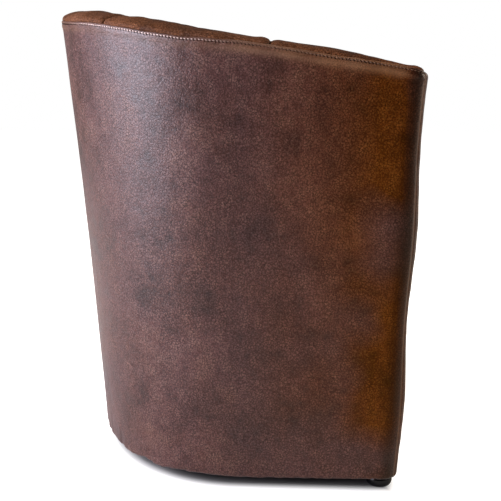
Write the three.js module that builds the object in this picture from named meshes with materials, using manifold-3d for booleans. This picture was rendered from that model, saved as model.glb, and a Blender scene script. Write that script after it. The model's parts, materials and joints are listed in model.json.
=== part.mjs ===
import * as THREE from "three";
import { mergeVertices } from "three/addons/utils/BufferGeometryUtils.js";
import Module from "manifold-3d";

// Tub chair with a horseshoe shell, sloping arms and a fixed seat.
// Millimetres. X runs across, the chair faces -Y, Z is up, and the origin is on the floor.

// Outline of the shell at its foot
const BASE_WIDTH = 590;
const BASE_FRONT_LENGTH = 279;
const BASE_BACK_LENGTH = 243;

// Outline of the shell at the height of the rim seam behind the sitter
const RIM_WIDTH = 656;
const RIM_FRONT_LENGTH = 299;
const RIM_BACK_LENGTH = 296;

// The sides run straight as far as this in front of the origin, then bend round as half an ellipse
const BEND_START_LENGTH = 13;
const BACK_HOLLOW_DEPTH = 4;

// The rim: the seam between the outside and inside covers, and the padded crown above it
const SEAM_HEIGHT_FRONT = 657;
const SEAM_HEIGHT_BACK = 738;
const SEAM_SWEEP_SHARE = 0.74;
const CROWN_FRONT_HEIGHT = 4.5;
const CROWN_BACK_HEIGHT = 17;
const CROWN_RISE_START_LENGTH = 150;
const CROWN_RISE_LENGTH = 330;
const CROWN_PEAK_DEPTH = 36;
const CROWN_DROP_HEIGHT = 26;

// Rounding of the arm fronts, and the slow wave of the padding down their edge
const NOSE_RADIUS = 30;
const NOSE_TOP_RADIUS = 14;
const NOSE_INNER_RADIUS = 12;
const FACING_EDGE_DEPTH = 6;
const FRONT_WAVE_DEPTH = 2.6;
const FRONT_WAVE_LENGTH = 280;
const FRONT_WAVE_CREST_HEIGHT = 422;

// Layers of the wall, counted inwards from its outside face
const CLEARANCE = 0.3;
const SOFT_CLEARANCE = 0.8;
const COVER_THICKNESS = 2.5;
const BOARD_THICKNESS = 3.2;
const TIMBER_THICKNESS = 28;
const WALL_THICKNESS = 88;
const LUMBAR_DEPTH = 14;
const UNDER_COVER = COVER_THICKNESS + CLEARANCE;
const FOAM_INSET = COVER_THICKNESS + SOFT_CLEARANCE;
const OUTER_BOARD_DEPTH = FOAM_INSET;
const TIMBER_DEPTH = OUTER_BOARD_DEPTH + BOARD_THICKNESS + CLEARANCE;
const TIMBER_INNER_DEPTH = TIMBER_DEPTH + TIMBER_THICKNESS;
const INNER_BOARD_DEPTH = TIMBER_INNER_DEPTH + CLEARANCE;
const INNER_BOARD_INNER_DEPTH = INNER_BOARD_DEPTH + BOARD_THICKNESS;
const FOAM_DEPTH = INNER_BOARD_INNER_DEPTH + SOFT_CLEARANCE;

// Seams of the inside cover: where they stand, how deep they are drawn in, and how far that spreads
const ARM_SEAM_SHARE = 0.77;
const BACK_SEAM_TURN = 39;
const SEAM_DRAW_DEPTH = 4;
const SEAM_SPREAD_WIDTH = 24;
const SEAM_TOP_SHARE = 0.35;

// Feet and the black cloth under the base
const FOOT_HEIGHT = 21;
const FOOT_RADIUS = 21;
const FOOT_SOLE_RADIUS = 12.5;
const FOOT_ROUND_HEIGHT = 9;
const FOOT_RECESS_RADIUS = 8;
const FOOT_RECESS_DEPTH = 8;
const FRONT_FOOT_DEPTH = 37;
const FRONT_FOOT_BEHIND = 29;
const BACK_FOOT_DEPTH = 60;
const BACK_FOOT_TURN = 52;
const DUST_COVER_THICKNESS = 1;
const DUST_COVER_INSET = 12;
const DUST_BOTTOM = FOOT_HEIGHT + CLEARANCE;
const SHELL_BOTTOM = DUST_BOTTOM + DUST_COVER_THICKNESS + CLEARANCE;
const BOTTOM_RADIUS = 6;
const BOTTOM_TUCK_WIDTH = 20;

// Screws of the feet
const SCREW_RADIUS = 2.2;
const SCREW_LENGTH = 40;
const SCREW_TIP = 5;
const SCREW_HEAD_RADIUS = 4.5;
const SCREW_HEAD = 3;

// Timber frame
const TIMBER_BOTTOM = SHELL_BOTTOM + UNDER_COVER;
const BASE_RAIL_HEIGHT = 40;
const BASE_RAIL_TOP = TIMBER_BOTTOM + BASE_RAIL_HEIGHT;
const BLOCK_LENGTH = 60;
const BLOCK_DEPTH = 75;
const BACK_BLOCK_DEPTH = 86;
const BACK_BLOCK_TURN = 10;
const ARM_POST_LENGTH = 40;
const UPRIGHT_WIDTH = 40;
const UPRIGHT_TURNS = [25, 65, 115, 155];
const TOP_RAIL_HEIGHT = 28;
const TOP_RAIL_DROP_HEIGHT = 12;

// Seat frame, webbing and pad
const SEAT_RAIL_TOP = 340;
const SEAT_RAIL_HEIGHT = 45;
const SEAT_RAIL_DEPTH = INNER_BOARD_DEPTH;
const SEAT_RAIL_INNER_DEPTH = SEAT_RAIL_DEPTH + TIMBER_THICKNESS;
const STRAP_THICKNESS = 1.2;
const STRAP_WIDTH = 50;
const STRAP_SETBACK_DEPTH = 9;
const STRAP_GRIP_DEPTH = SEAT_RAIL_DEPTH + STRAP_SETBACK_DEPTH;
const LONG_STRAP_PITCH = 105;
const LONG_STRAP_PLACES = [-1, 0, 1].map((step) => step * LONG_STRAP_PITCH);
const CROSS_STRAP_PITCH = 115;
const CROSS_STRAP_FRONT = 165;
const CROSS_STRAP_PLACES = [0, 1, 2].map((step) => step * CROSS_STRAP_PITCH - CROSS_STRAP_FRONT);
const PAD_BOTTOM = SEAT_RAIL_TOP + CLEARANCE + 2 * (STRAP_THICKNESS + CLEARANCE);
const SEAT_EDGE_HEIGHT = 426;
const SEAT_CROWN_HEIGHT = 26;
const SEAT_ROLL_RADIUS = 22;
const SEAT_SETBACK_DEPTH = 6;
const SEAT_CENTRE_LENGTH = 40;

// Front of the base, under the seat
const FRONT_BOARD_THICKNESS = 18;
const FRONT_BOARD_BEHIND = SEAT_SETBACK_DEPTH + UNDER_COVER;
const FRAME_BEHIND = FRONT_BOARD_BEHIND + FRONT_BOARD_THICKNESS + CLEARANCE;
const FRONT_COVER_DEPTH = WALL_THICKNESS + CLEARANCE;
const FRONT_BULGE_DEPTH = 3;

// Roundness of curved pieces
const BEND_STEP = 10;
const ROUND_SIDES = 20;
const SCREW_SIDES = 8;

const wasm = await Module();
wasm.setup();

// A closed three.js mesh as a solid that can be cut.
function solidOf(geometry) {
  const plain = geometry.clone();
  plain.deleteAttribute("normal");
  plain.deleteAttribute("uv");
  const merged = mergeVertices(plain);
  return new wasm.Manifold(
    new wasm.Mesh({
      numProp: 3,
      vertProperties: new Float32Array(merged.attributes.position.array),
      triVerts: new Uint32Array(merged.index.array),
    }),
  );
}

// A solid back as a three.js mesh.
function geometryOf(solid) {
  const { vertProperties, triVerts } = solid.getMesh();
  const geometry = new THREE.BufferGeometry();
  geometry.setAttribute("position", new THREE.BufferAttribute(vertProperties, 3));
  geometry.setIndex(new THREE.BufferAttribute(triVerts, 1));
  geometry.computeVertexNormals();
  return geometry;
}

// Six times the volume that a triangle closes with the origin.
function signedVolume(points, [a, b, c]) {
  return points[a].dot(points[b].clone().cross(points[c]));
}

// A closed skin through loops of equally many points, each four-sided face split along its
// shorter diagonal. Each end is closed by joining the first point of its loop to the last,
// the second to the last but one, and so on.
function loft(loops) {
  const size = loops[0].length;
  const points = loops.flat();
  const faces = [];
  const quad = (a, b, c, d) => {
    const straight = points[a].distanceTo(points[c]) <= points[b].distanceTo(points[d]);
    faces.push(...(straight ? [[a, b, c], [a, c, d]] : [[a, b, d], [b, c, d]]));
  };
  for (let row = 0; row + 1 < loops.length; row++) {
    for (let i = 0; i < size; i++) {
      const next = (i + 1) % size;
      const here = row * size;
      quad(here + i, here + next, here + size + next, here + size + i);
    }
  }
  const close = (start, flip) => {
    for (let i = 0; i + 1 < size - 1 - i; i++) {
      const corners = [i, size - 1 - i, size - 2 - i, i + 1].map((k) => start + k);
      const [a, b, c, d] = flip ? corners.reverse() : corners;
      if (c === d || b === c) faces.push([a, b, d]);
      else if (a === b) faces.push([b, c, d]);
      else quad(a, b, c, d);
    }
  };
  close(0, false);
  close(points.length - size, true);
  const volume = faces.reduce((sum, face) => sum + signedVolume(points, face), 0);
  if (volume < 0) faces.forEach((face) => face.reverse());
  const geometry = new THREE.BufferGeometry().setFromPoints(points);
  geometry.setIndex(faces.flat());
  geometry.computeVertexNormals();
  return geometry;
}

// A skin between two open chains of points that run side by side.
const ribbon = (outer, inner) => [...outer, ...[...inner].reverse()];

// Heights that every layer of the wall bends at, so that the layers stay parallel: quarters of the
// arm front's wave, from the base rail up to the lowest end of what slopes with the rim.
const WAVE_STEP = FRONT_WAVE_LENGTH / 4;
const RAIL_DROP = TOP_RAIL_DROP_HEIGHT + TOP_RAIL_HEIGHT;
const SLOPE_DROP = Math.max(RAIL_DROP, NOSE_TOP_RADIUS + CROWN_DROP_HEIGHT) + CLEARANCE;
const FIRST_BEND = Math.ceil((BASE_RAIL_TOP - FRONT_WAVE_CREST_HEIGHT) / WAVE_STEP);
const LOWEST_SLOPE = Math.min(SEAM_HEIGHT_FRONT, SEAM_HEIGHT_BACK) - SLOPE_DROP;
const LAST_BEND = Math.floor((LOWEST_SLOPE - FRONT_WAVE_CREST_HEIGHT) / WAVE_STEP);
const BEND_HEIGHTS = Array.from(
  { length: LAST_BEND - FIRST_BEND + 1 },
  (_, i) => FRONT_WAVE_CREST_HEIGHT + (FIRST_BEND + i) * WAVE_STEP,
);
const GRID_HEIGHTS = [SHELL_BOTTOM, ...BEND_HEIGHTS, SEAM_HEIGHT_BACK];

// The bend heights between two heights, with the two themselves.
const levelsBetween = (bottom, top) => [
  bottom,
  ...BEND_HEIGHTS.filter((height) => height > bottom && height < top),
  top,
];

// A value that is worked out at the grid heights and runs straight between them.
function onGrid(height, valueAt) {
  const above = GRID_HEIGHTS.findIndex((grid, i) => i > 0 && grid >= height);
  const upper = above < 0 ? GRID_HEIGHTS.length - 1 : above;
  const [low, high] = [GRID_HEIGHTS[upper - 1], GRID_HEIGHTS[upper]];
  return THREE.MathUtils.mapLinear(height, low, high, valueAt(low), valueAt(high));
}

// The half width, front and back of the shell at a height.
function planAt(height) {
  const share = (height - SHELL_BOTTOM) / (SEAM_HEIGHT_BACK - SHELL_BOTTOM);
  return {
    share,
    halfWidth: THREE.MathUtils.lerp(BASE_WIDTH, RIM_WIDTH, share) / 2,
    front: THREE.MathUtils.lerp(BASE_FRONT_LENGTH, RIM_FRONT_LENGTH, share),
    back: THREE.MathUtils.lerp(BASE_BACK_LENGTH, RIM_BACK_LENGTH, share),
  };
}

// How far the padding swells past the arm's front at a height.
function frontWave(height, behind) {
  const fade = Math.max(0, 1 - behind / FRAME_BEHIND) ** 2;
  const phase = (at) => (2 * Math.PI * (at - FRONT_WAVE_CREST_HEIGHT)) / FRONT_WAVE_LENGTH;
  return FRONT_WAVE_DEPTH * fade * onGrid(height, (at) => Math.cos(phase(at)));
}

// Places along the wall: behind the front of an arm, a share of its straight side,
// round its front corner, or turned round the back from the left side at 0 to the right at 180.
const atNose = (side, behind) => ({ side, behind });
const atSide = (side, share) => ({ side, share });
const atCorner = (side, corner) => ({ side, corner });
const atTurn = (turn) => ({ turn });
const LEFT = -1;
const RIGHT = 1;

// The straight part of a side at the rim.
const RIM_SIDE = RIM_FRONT_LENGTH - NOSE_RADIUS - BEND_START_LENGTH;

// The point of the bend at a turn, a depth from its outside face and a height.
function bendPoint(turn, depth, height) {
  const plan = planAt(height);
  const angle = THREE.MathUtils.degToRad(turn);
  const bow = onGrid(height, (at) => Math.sin(Math.PI * planAt(at).share));
  const hollow = BACK_HOLLOW_DEPTH * bow * Math.sin(angle) ** 2;
  const reach = plan.back + BEND_START_LENGTH - hollow - depth;
  return new THREE.Vector3(
    -(plan.halfWidth - depth) * Math.cos(angle),
    reach * Math.sin(angle) - BEND_START_LENGTH,
    height,
  );
}

// The point of the wall at a place, a depth from its outside face and a height.
function wallPoint(place, depth, height) {
  const plan = planAt(height);
  if (place.turn !== undefined) {
    const facet = Math.floor(place.turn / BEND_STEP) * BEND_STEP;
    const from = bendPoint(facet, depth, height);
    if (facet === place.turn) return from;
    const share = (place.turn - facet) / BEND_STEP;
    return from.lerp(bendPoint(facet + BEND_STEP, depth, height), share);
  }
  let { behind } = place;
  let inward = depth;
  if (place.share !== undefined) {
    behind = NOSE_RADIUS + place.share * (plan.front - NOSE_RADIUS - BEND_START_LENGTH);
  }
  if (place.corner !== undefined) {
    const angle = THREE.MathUtils.degToRad(place.corner);
    behind = NOSE_RADIUS - (NOSE_RADIUS - depth) * Math.sin(angle);
    inward = NOSE_RADIUS - (NOSE_RADIUS - depth) * Math.cos(angle);
  }
  return new THREE.Vector3(
    place.side * (plan.halfWidth - inward),
    behind - plan.front - frontWave(height, behind),
    height,
  );
}

// How far behind the arm's front a place near it lies, or nothing further back.
function behindNose(place) {
  if (place.corner !== undefined) {
    return NOSE_RADIUS * (1 - Math.sin(THREE.MathUtils.degToRad(place.corner)));
  }
  return place.behind ?? Infinity;
}

// The depth of a face that keeps an inset from an edge rounded by a radius.
function noseInset(behind, radius, inset) {
  if (behind >= radius) return inset;
  const across = (radius - inset) ** 2 - (radius - behind) ** 2;
  return radius - Math.sqrt(Math.max(0, across));
}

// The height of the rim seam at a place.
function seamHeight(place) {
  const along = wallPoint(place, 0, SEAM_HEIGHT_BACK).y + RIM_FRONT_LENGTH;
  const share = along / (RIM_FRONT_LENGTH + RIM_BACK_LENGTH);
  const rise = THREE.MathUtils.clamp(share, 0, 1) ** SEAM_SWEEP_SHARE;
  return THREE.MathUtils.lerp(SEAM_HEIGHT_FRONT, SEAM_HEIGHT_BACK, rise);
}

// The height of the padded crown over the rim seam at a place.
function crownHeight(place) {
  const share = (wallPoint(place, 0, SEAM_HEIGHT_BACK).y + CROWN_RISE_START_LENGTH) / CROWN_RISE_LENGTH;
  return THREE.MathUtils.lerp(CROWN_FRONT_HEIGHT, CROWN_BACK_HEIGHT, THREE.MathUtils.smoothstep(share, 0, 1));
}

// How far a seam of the inside cover draws the padding in at a place.
function seamDraw(place) {
  let away = Infinity;
  if (place.share !== undefined) {
    away = Math.abs(place.share - ARM_SEAM_SHARE) * RIM_SIDE;
  }
  if (place.turn !== undefined) {
    const turn = Math.min(place.turn, 180 - place.turn) - BACK_SEAM_TURN;
    away = Math.abs(THREE.MathUtils.degToRad(turn)) * RIM_BACK_LENGTH;
  }
  return SEAM_DRAW_DEPTH * Math.max(0, 1 - away / SEAM_SPREAD_WIDTH) ** 2;
}

// The depth of the inside cover's face at a place and a height, with the fuller lower back.
function liningDepth(place, height) {
  if (place.turn === undefined) return WALL_THICKNESS;
  const top = SEAM_HEIGHT_BACK - CROWN_DROP_HEIGHT;
  const share = THREE.MathUtils.clamp((top - height) / (top - SEAT_EDGE_HEIGHT), 0, 1);
  return WALL_THICKNESS + LUMBAR_DEPTH * share * Math.sin(THREE.MathUtils.degToRad(place.turn)) ** 2;
}

// Chain of [depth, height] over the crown, from the rim seam to the hip inside it, at an inset
// from the face of the cover.
function crownChain(place, inset) {
  const behind = behindNose(place);
  const topLoss = noseInset(behind, NOSE_TOP_RADIUS, inset);
  const innerLoss = noseInset(behind, NOSE_INNER_RADIUS, inset);
  const start = noseInset(behind, NOSE_RADIUS, inset);
  const draw = seamDraw(place);
  const shoulder = seamHeight(place) - topLoss + inset;
  const peak = shoulder + crownHeight(place) - inset - SEAM_TOP_SHARE * draw;
  const hip = shoulder - CROWN_DROP_HEIGHT;
  const edge = liningDepth(place, hip) - innerLoss - draw;
  const chain = [];
  for (const angle of [0, 35, 65]) {
    const a = THREE.MathUtils.degToRad(angle);
    const across = (CROWN_PEAK_DEPTH - start) * (1 - Math.cos(a));
    chain.push([start + across, shoulder + CLEARANCE / 2 + (peak - shoulder - CLEARANCE / 2) * Math.sin(a)]);
  }
  for (const angle of [90, 65, 42, 20, 0]) {
    const a = THREE.MathUtils.degToRad(angle);
    const across = (edge - CROWN_PEAK_DEPTH) * Math.cos(a);
    chain.push([CROWN_PEAK_DEPTH + across, hip + (peak - hip) * Math.sin(a)]);
  }
  return chain;
}

// The crown's chain carried on down the inside to a foot.
function liningChain(place, inset, foot) {
  const crown = crownChain(place, inset);
  const [edge, hip] = crown.at(-1);
  const fuller = (height) => liningDepth(place, height) - liningDepth(place, hip);
  const below = levelsBetween(foot, hip).reverse().slice(1);
  return [...crown, ...below.map((height) => [edge + fuller(height), height])];
}

// Chain of [depth, height] from the turned-under edge up the outside to the rim seam.
function outsideChain(place, inset) {
  const behind = behindNose(place);
  const top = seamHeight(place) - noseInset(behind, NOSE_TOP_RADIUS, 0) - CLEARANCE / 2;
  const chain = [[BOTTOM_TUCK_WIDTH, SHELL_BOTTOM + inset]];
  for (const angle of [90, 45, 0]) {
    const a = THREE.MathUtils.degToRad(angle);
    const radius = BOTTOM_RADIUS - inset;
    chain.push([BOTTOM_RADIUS - radius * Math.cos(a), SHELL_BOTTOM + BOTTOM_RADIUS - radius * Math.sin(a)]);
  }
  for (const height of levelsBetween(SHELL_BOTTOM + BOTTOM_RADIUS, top).slice(1)) {
    chain.push([inset, height]);
  }
  return chain;
}

// The points of a chain at a place.
const pointsAt = (place, chain) => chain.map(([depth, height]) => wallPoint(place, depth, height));

// A piece of the wall whose section is a chain made for each place.
const sweepWall = (places, sectionAt) =>
  loft(places.map((place) => pointsAt(place, sectionAt(place))));

// A piece of the wall between two depths and two heights.
function wallBlock(places, [outer, inner], bottomAt, topAt) {
  return sweepWall(places, (place) => {
    const heights = levelsBetween(bottomAt(place), topAt(place));
    return ribbon(
      heights.map((height) => [outer, height]),
      heights.map((height) => [inner, height]),
    );
  });
}

// Places round the back between two turns, at each turn that the wall bends at.
function turns(from, to) {
  const first = Math.floor(from / BEND_STEP) + 1;
  const count = Math.max(0, Math.ceil(to / BEND_STEP) - first);
  const between = Array.from({ length: count }, (_, i) => (first + i) * BEND_STEP);
  return [from, ...between, to].map(atTurn);
}

// The half of a run of places on the right, mirrored from the left.
function mirrored(places) {
  const swap = (place) =>
    place.turn === undefined ? { ...place, side: -place.side } : atTurn(180 - place.turn);
  return places.map(swap).reverse();
}

const SIDES = [
  ["left", (places) => places],
  ["right", mirrored],
];

const parts = new THREE.Group();

// A named mesh in its own finish, added to a group.
function addPiece(group, name, geometry, finish) {
  const mesh = new THREE.Mesh(geometry, new THREE.MeshStandardMaterial(finish));
  mesh.name = name;
  group.add(mesh);
  return mesh;
}

const LEATHER = { color: 0x5a4036, roughness: 0.55, metalness: 0 };
const SHADED_LEATHER = { color: 0x513a30, roughness: 0.55, metalness: 0 };
const PINE = { color: 0xc9a572, roughness: 0.75, metalness: 0 };
const PLYWOOD = { color: 0xb99467, roughness: 0.75, metalness: 0 };
const HARDBOARD = { color: 0x6f5136, roughness: 0.8, metalness: 0 };
const FOAM = { color: 0xe4dcc0, roughness: 0.95, metalness: 0 };
const WEBBING = { color: 0x2e2a28, roughness: 0.9, metalness: 0 };
const BLACK_CLOTH = { color: 0x16161a, roughness: 0.95, metalness: 0 };
const BLACK_PLASTIC = { color: 0x0c0c0e, roughness: 0.3, metalness: 0 };
const ZINC = { color: 0xb9bcc0, roughness: 0.35, metalness: 1 };

// Shares of a turn or a side that stand for the clearance between two neighbours.
const TURN_CLEAR = THREE.MathUtils.radToDeg(CLEARANCE / BASE_BACK_LENGTH);
const SHARE_CLEAR = CLEARANCE / (BASE_FRONT_LENGTH - NOSE_RADIUS - BEND_START_LENGTH);

// Timber

const FRAME_DEPTHS = [TIMBER_DEPTH, TIMBER_INNER_DEPTH];
const SEAT_RAIL_DEPTHS = [SEAT_RAIL_DEPTH, SEAT_RAIL_INNER_DEPTH];
const SEAT_RAIL_BOTTOM = SEAT_RAIL_TOP - SEAT_RAIL_HEIGHT;
const topRailBottom = (place) => seamHeight(place) - RAIL_DROP;
const topRailTop = (place) => seamHeight(place) - TOP_RAIL_DROP_HEIGHT;
const underTopRail = (place) => topRailBottom(place) - CLEARANCE;
const level = (height) => () => height;

// Places of a layer along the left side, from the frame's front and from the end of the arm's rounding.
const ARM_MIDDLE_SHARE = 0.35;
const SEAM_SIDE_SHARE = 0.1;
const SIDE_SHARES = [
  ARM_MIDDLE_SHARE,
  ARM_SEAM_SHARE - SEAM_SIDE_SHARE,
  ARM_SEAM_SHARE,
  ARM_SEAM_SHARE + SEAM_SIDE_SHARE,
];
const FRAME_SIDE = [atNose(LEFT, FRAME_BEHIND), ...SIDE_SHARES.map((share) => atSide(LEFT, share))];
const LEFT_SIDE = [0, ...SIDE_SHARES].map((share) => atSide(LEFT, share));

function makeTimber() {
  const timber = new THREE.Group();
  const halfBack = turns(0, 90 - TURN_CLEAR / 2);
  for (const [word, onSide] of SIDES) {
    const baseRail = [atNose(LEFT, BLOCK_LENGTH + CLEARANCE), ...halfBack];
    addPiece(
      timber,
      `base_rail_${word}`,
      wallBlock(onSide(baseRail), FRAME_DEPTHS, level(TIMBER_BOTTOM), level(BASE_RAIL_TOP)),
      PLYWOOD,
    );
    const seatRail = [atNose(LEFT, FRAME_BEHIND), ...halfBack];
    addPiece(
      timber,
      `seat_rail_${word}`,
      wallBlock(onSide(seatRail), SEAT_RAIL_DEPTHS, level(SEAT_RAIL_BOTTOM), level(SEAT_RAIL_TOP)),
      PLYWOOD,
    );
    const [front, ...side] = FRAME_SIDE;
    const postEnd = atNose(LEFT, FRAME_BEHIND + ARM_POST_LENGTH);
    const topRail = [front, postEnd, ...side, ...halfBack];
    addPiece(
      timber,
      `top_rail_${word}`,
      wallBlock(onSide(topRail), FRAME_DEPTHS, topRailBottom, topRailTop),
      PLYWOOD,
    );
    const post = [front, postEnd];
    addPiece(
      timber,
      `arm_post_${word}`,
      wallBlock(onSide(post), FRAME_DEPTHS, level(BASE_RAIL_TOP + CLEARANCE), underTopRail),
      PINE,
    );
  }
  UPRIGHT_TURNS.forEach((turn, i) => {
    const half = THREE.MathUtils.radToDeg(UPRIGHT_WIDTH / 2 / RIM_BACK_LENGTH);
    const places = turns(turn - half, turn + half);
    addPiece(
      timber,
      `back_upright_${i + 1}`,
      wallBlock(places, FRAME_DEPTHS, level(BASE_RAIL_TOP + CLEARANCE), underTopRail),
      PINE,
    );
  });
  addPiece(timber, "base_rail_front", frontRail(BLOCK_DEPTH, TIMBER_BOTTOM, BASE_RAIL_HEIGHT), PINE);
  const seatRail = frontRail(SEAT_RAIL_INNER_DEPTH, SEAT_RAIL_BOTTOM, SEAT_RAIL_HEIGHT);
  addPiece(timber, "seat_rail_front", seatRail, PINE);
  return timber;
}

// A rail across the front, between whatever stands at a depth on either side.
function frontRail(depth, bottom, height) {
  const width = 2 * (planAt(bottom).halfWidth - depth - CLEARANCE);
  const geometry = new THREE.BoxGeometry(width, TIMBER_THICKNESS, height);
  const face = frontFace(bottom, height) + FRAME_BEHIND;
  return geometry.translate(0, face + TIMBER_THICKNESS / 2, bottom + height / 2);
}

// The rearmost place that the upright face of a straight piece may start at, over its height.
const frontFace = (bottom, height) =>
  -Math.min(planAt(bottom).front, planAt(bottom + height).front);

// Blocks that take the feet

const FOOT_PLACES = [
  ["front_left", wallPoint(atNose(LEFT, FRONT_FOOT_BEHIND), FRONT_FOOT_DEPTH, SHELL_BOTTOM)],
  ["front_right", wallPoint(atNose(RIGHT, FRONT_FOOT_BEHIND), FRONT_FOOT_DEPTH, SHELL_BOTTOM)],
  ["back_left", wallPoint(atTurn(BACK_FOOT_TURN), BACK_FOOT_DEPTH, SHELL_BOTTOM)],
  ["back_right", wallPoint(atTurn(180 - BACK_FOOT_TURN), BACK_FOOT_DEPTH, SHELL_BOTTOM)],
];

// An upright round bar between two heights at a place on the plan.
function roundBar({ x, y }, radius, bottom, top, sides = SCREW_SIDES) {
  const bar = new THREE.CylinderGeometry(radius, radius, top - bottom, sides);
  return bar.rotateX(Math.PI / 2).translate(x, y, (bottom + top) / 2);
}

const SCREW_HEAD_BOTTOM = FOOT_RECESS_DEPTH - SCREW_HEAD - CLEARANCE;
const SCREW_TOP = SCREW_HEAD_BOTTOM + SCREW_LENGTH;

// The foot screws' holes in a piece that lies over the feet.
function drilled(geometry, places) {
  return geometryOf(
    places.reduce((solid, place) => {
      const hole = roundBar(place, SCREW_RADIUS + CLEARANCE, 0, SCREW_TOP + CLEARANCE);
      return solid.subtract(solidOf(hole));
    }, solidOf(geometry)),
  );
}

// Where a block follows the rounding of the arm's front, as shares of the way round it.
const BLOCK_ROUND_SHARES = [0, 0.1, 0.22, 0.57, 1];

function frontBlock(side) {
  const round = BLOCK_ROUND_SHARES.map((share) => THREE.MathUtils.lerp(TIMBER_DEPTH, NOSE_RADIUS, share));
  const steps = [...round, BLOCK_LENGTH];
  return loft(
    steps.map((behind) => {
      const outer = noseInset(behind, NOSE_RADIUS, TIMBER_DEPTH);
      const section = [
        [outer, TIMBER_BOTTOM],
        [outer, BASE_RAIL_TOP],
        [BLOCK_DEPTH, BASE_RAIL_TOP],
        [BLOCK_DEPTH, TIMBER_BOTTOM],
      ];
      return pointsAt(atNose(side, behind), section);
    }),
  );
}

function backBlock(turn) {
  const places = turns(turn - BACK_BLOCK_TURN, turn + BACK_BLOCK_TURN);
  const depths = [INNER_BOARD_DEPTH, BACK_BLOCK_DEPTH];
  return wallBlock(places, depths, level(TIMBER_BOTTOM), level(BASE_RAIL_TOP));
}

function makeFeet() {
  const feet = new THREE.Group();
  const blocks = [
    frontBlock(LEFT),
    frontBlock(RIGHT),
    backBlock(BACK_FOOT_TURN),
    backBlock(180 - BACK_FOOT_TURN),
  ];
  FOOT_PLACES.forEach(([word, place], i) => {
    addPiece(feet, `foot_block_${word}`, drilled(blocks[i], [place]), PINE);
    addPiece(feet, `foot_${word}`, footShape(), BLACK_PLASTIC).position.set(place.x, place.y, 0);
    addPiece(feet, `foot_screw_${word}`, screwShape(), ZINC).position.set(place.x, place.y, 0);
  });
  return feet;
}

// A turned shape from a profile of [radius, height] that starts and ends on the axis or closes.
function turned(profile, sides) {
  const line = profile.map(([radius, height]) => new THREE.Vector2(radius, height));
  return new THREE.LatheGeometry(line, sides).rotateX(Math.PI / 2);
}

// A round glide whose side curves in to its sole, with a recess for the screw's head.
function footShape() {
  const hole = SCREW_RADIUS + CLEARANCE;
  const round = [0, 30, 60, 90].map((angle) => {
    const a = THREE.MathUtils.degToRad(angle);
    const across = FOOT_SOLE_RADIUS + (FOOT_RADIUS - FOOT_SOLE_RADIUS) * Math.sin(a);
    return [across, FOOT_ROUND_HEIGHT * (1 - Math.cos(a))];
  });
  return turned(
    [
      [hole, FOOT_RECESS_DEPTH],
      [FOOT_RECESS_RADIUS, FOOT_RECESS_DEPTH],
      [FOOT_RECESS_RADIUS, 0],
      ...round,
      [FOOT_RADIUS, FOOT_HEIGHT],
      [hole, FOOT_HEIGHT],
      [hole, FOOT_RECESS_DEPTH],
    ],
    ROUND_SIDES,
  );
}

function screwShape() {
  return turned(
    [
      [0, SCREW_HEAD_BOTTOM],
      [SCREW_HEAD_RADIUS, SCREW_HEAD_BOTTOM],
      [SCREW_HEAD_RADIUS, SCREW_HEAD_BOTTOM + SCREW_HEAD],
      [SCREW_RADIUS, SCREW_HEAD_BOTTOM + SCREW_HEAD],
      [SCREW_RADIUS, SCREW_TOP - SCREW_TIP],
      [0, SCREW_TOP],
    ],
    SCREW_SIDES,
  );
}

// Boards that close the frame

const WHOLE_BACK = turns(0, 180);

function makeBoards() {
  const boards = new THREE.Group();
  const around = (side) => [...side, ...WHOLE_BACK, ...mirrored(side)];
  const outer = [OUTER_BOARD_DEPTH, OUTER_BOARD_DEPTH + BOARD_THICKNESS];
  const inner = [INNER_BOARD_DEPTH, INNER_BOARD_INNER_DEPTH];
  addPiece(
    boards,
    "outer_board",
    wallBlock(around(LEFT_SIDE), outer, level(SHELL_BOTTOM + BOTTOM_RADIUS), topRailTop),
    HARDBOARD,
  );
  addPiece(
    boards,
    "inner_board",
    wallBlock(around(FRAME_SIDE), inner, level(PAD_BOTTOM), topRailTop),
    HARDBOARD,
  );
  addPiece(boards, "front_board", frontBoard(), PLYWOOD);
  return boards;
}

// A point of the front under the seat: a share of its half width, a distance behind the arms, a height.
function frontPoint(column, behind, height) {
  const plan = planAt(height);
  return new THREE.Vector3(column * (plan.halfWidth - FRONT_COVER_DEPTH), behind - plan.front, height);
}

// The flat board behind the front cover, leaning with the arms.
function frontBoard() {
  const back = FRONT_BOARD_BEHIND + FRONT_BOARD_THICKNESS;
  return loft(
    [LEFT, RIGHT].map((column) => [
      frontPoint(column, FRONT_BOARD_BEHIND, TIMBER_BOTTOM),
      frontPoint(column, FRONT_BOARD_BEHIND, SEAT_RAIL_TOP),
      frontPoint(column, back, SEAT_RAIL_TOP),
      frontPoint(column, back, TIMBER_BOTTOM),
    ]),
  );
}

// The cover of the front under the seat, a little fuller in the middle and turned under at its foot.
const FRONT_HEIGHT_SHARES = [0, 0.25, 0.5, 0.75, 1];
const FRONT_COLUMN_SHARES = [-1, -0.6, 0, 0.6, 1];

function frontCover() {
  return loft(
    FRONT_COLUMN_SHARES.map((column) => {
      const chain = (inset) => [
        frontPoint(column, SEAT_SETBACK_DEPTH + BOTTOM_TUCK_WIDTH, SHELL_BOTTOM + inset),
        ...FRONT_HEIGHT_SHARES.map((share) => {
          const height = THREE.MathUtils.lerp(SHELL_BOTTOM, PAD_BOTTOM - CLEARANCE, share);
          const out = FRONT_BULGE_DEPTH * Math.sin(Math.PI * share) * (1 - column ** 2);
          return frontPoint(column, SEAT_SETBACK_DEPTH + inset - out, share === 0 ? height + inset : height);
        }),
      ];
      return ribbon(chain(0), chain(COVER_THICKNESS));
    }),
  );
}

// Webbing under the seat

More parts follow.
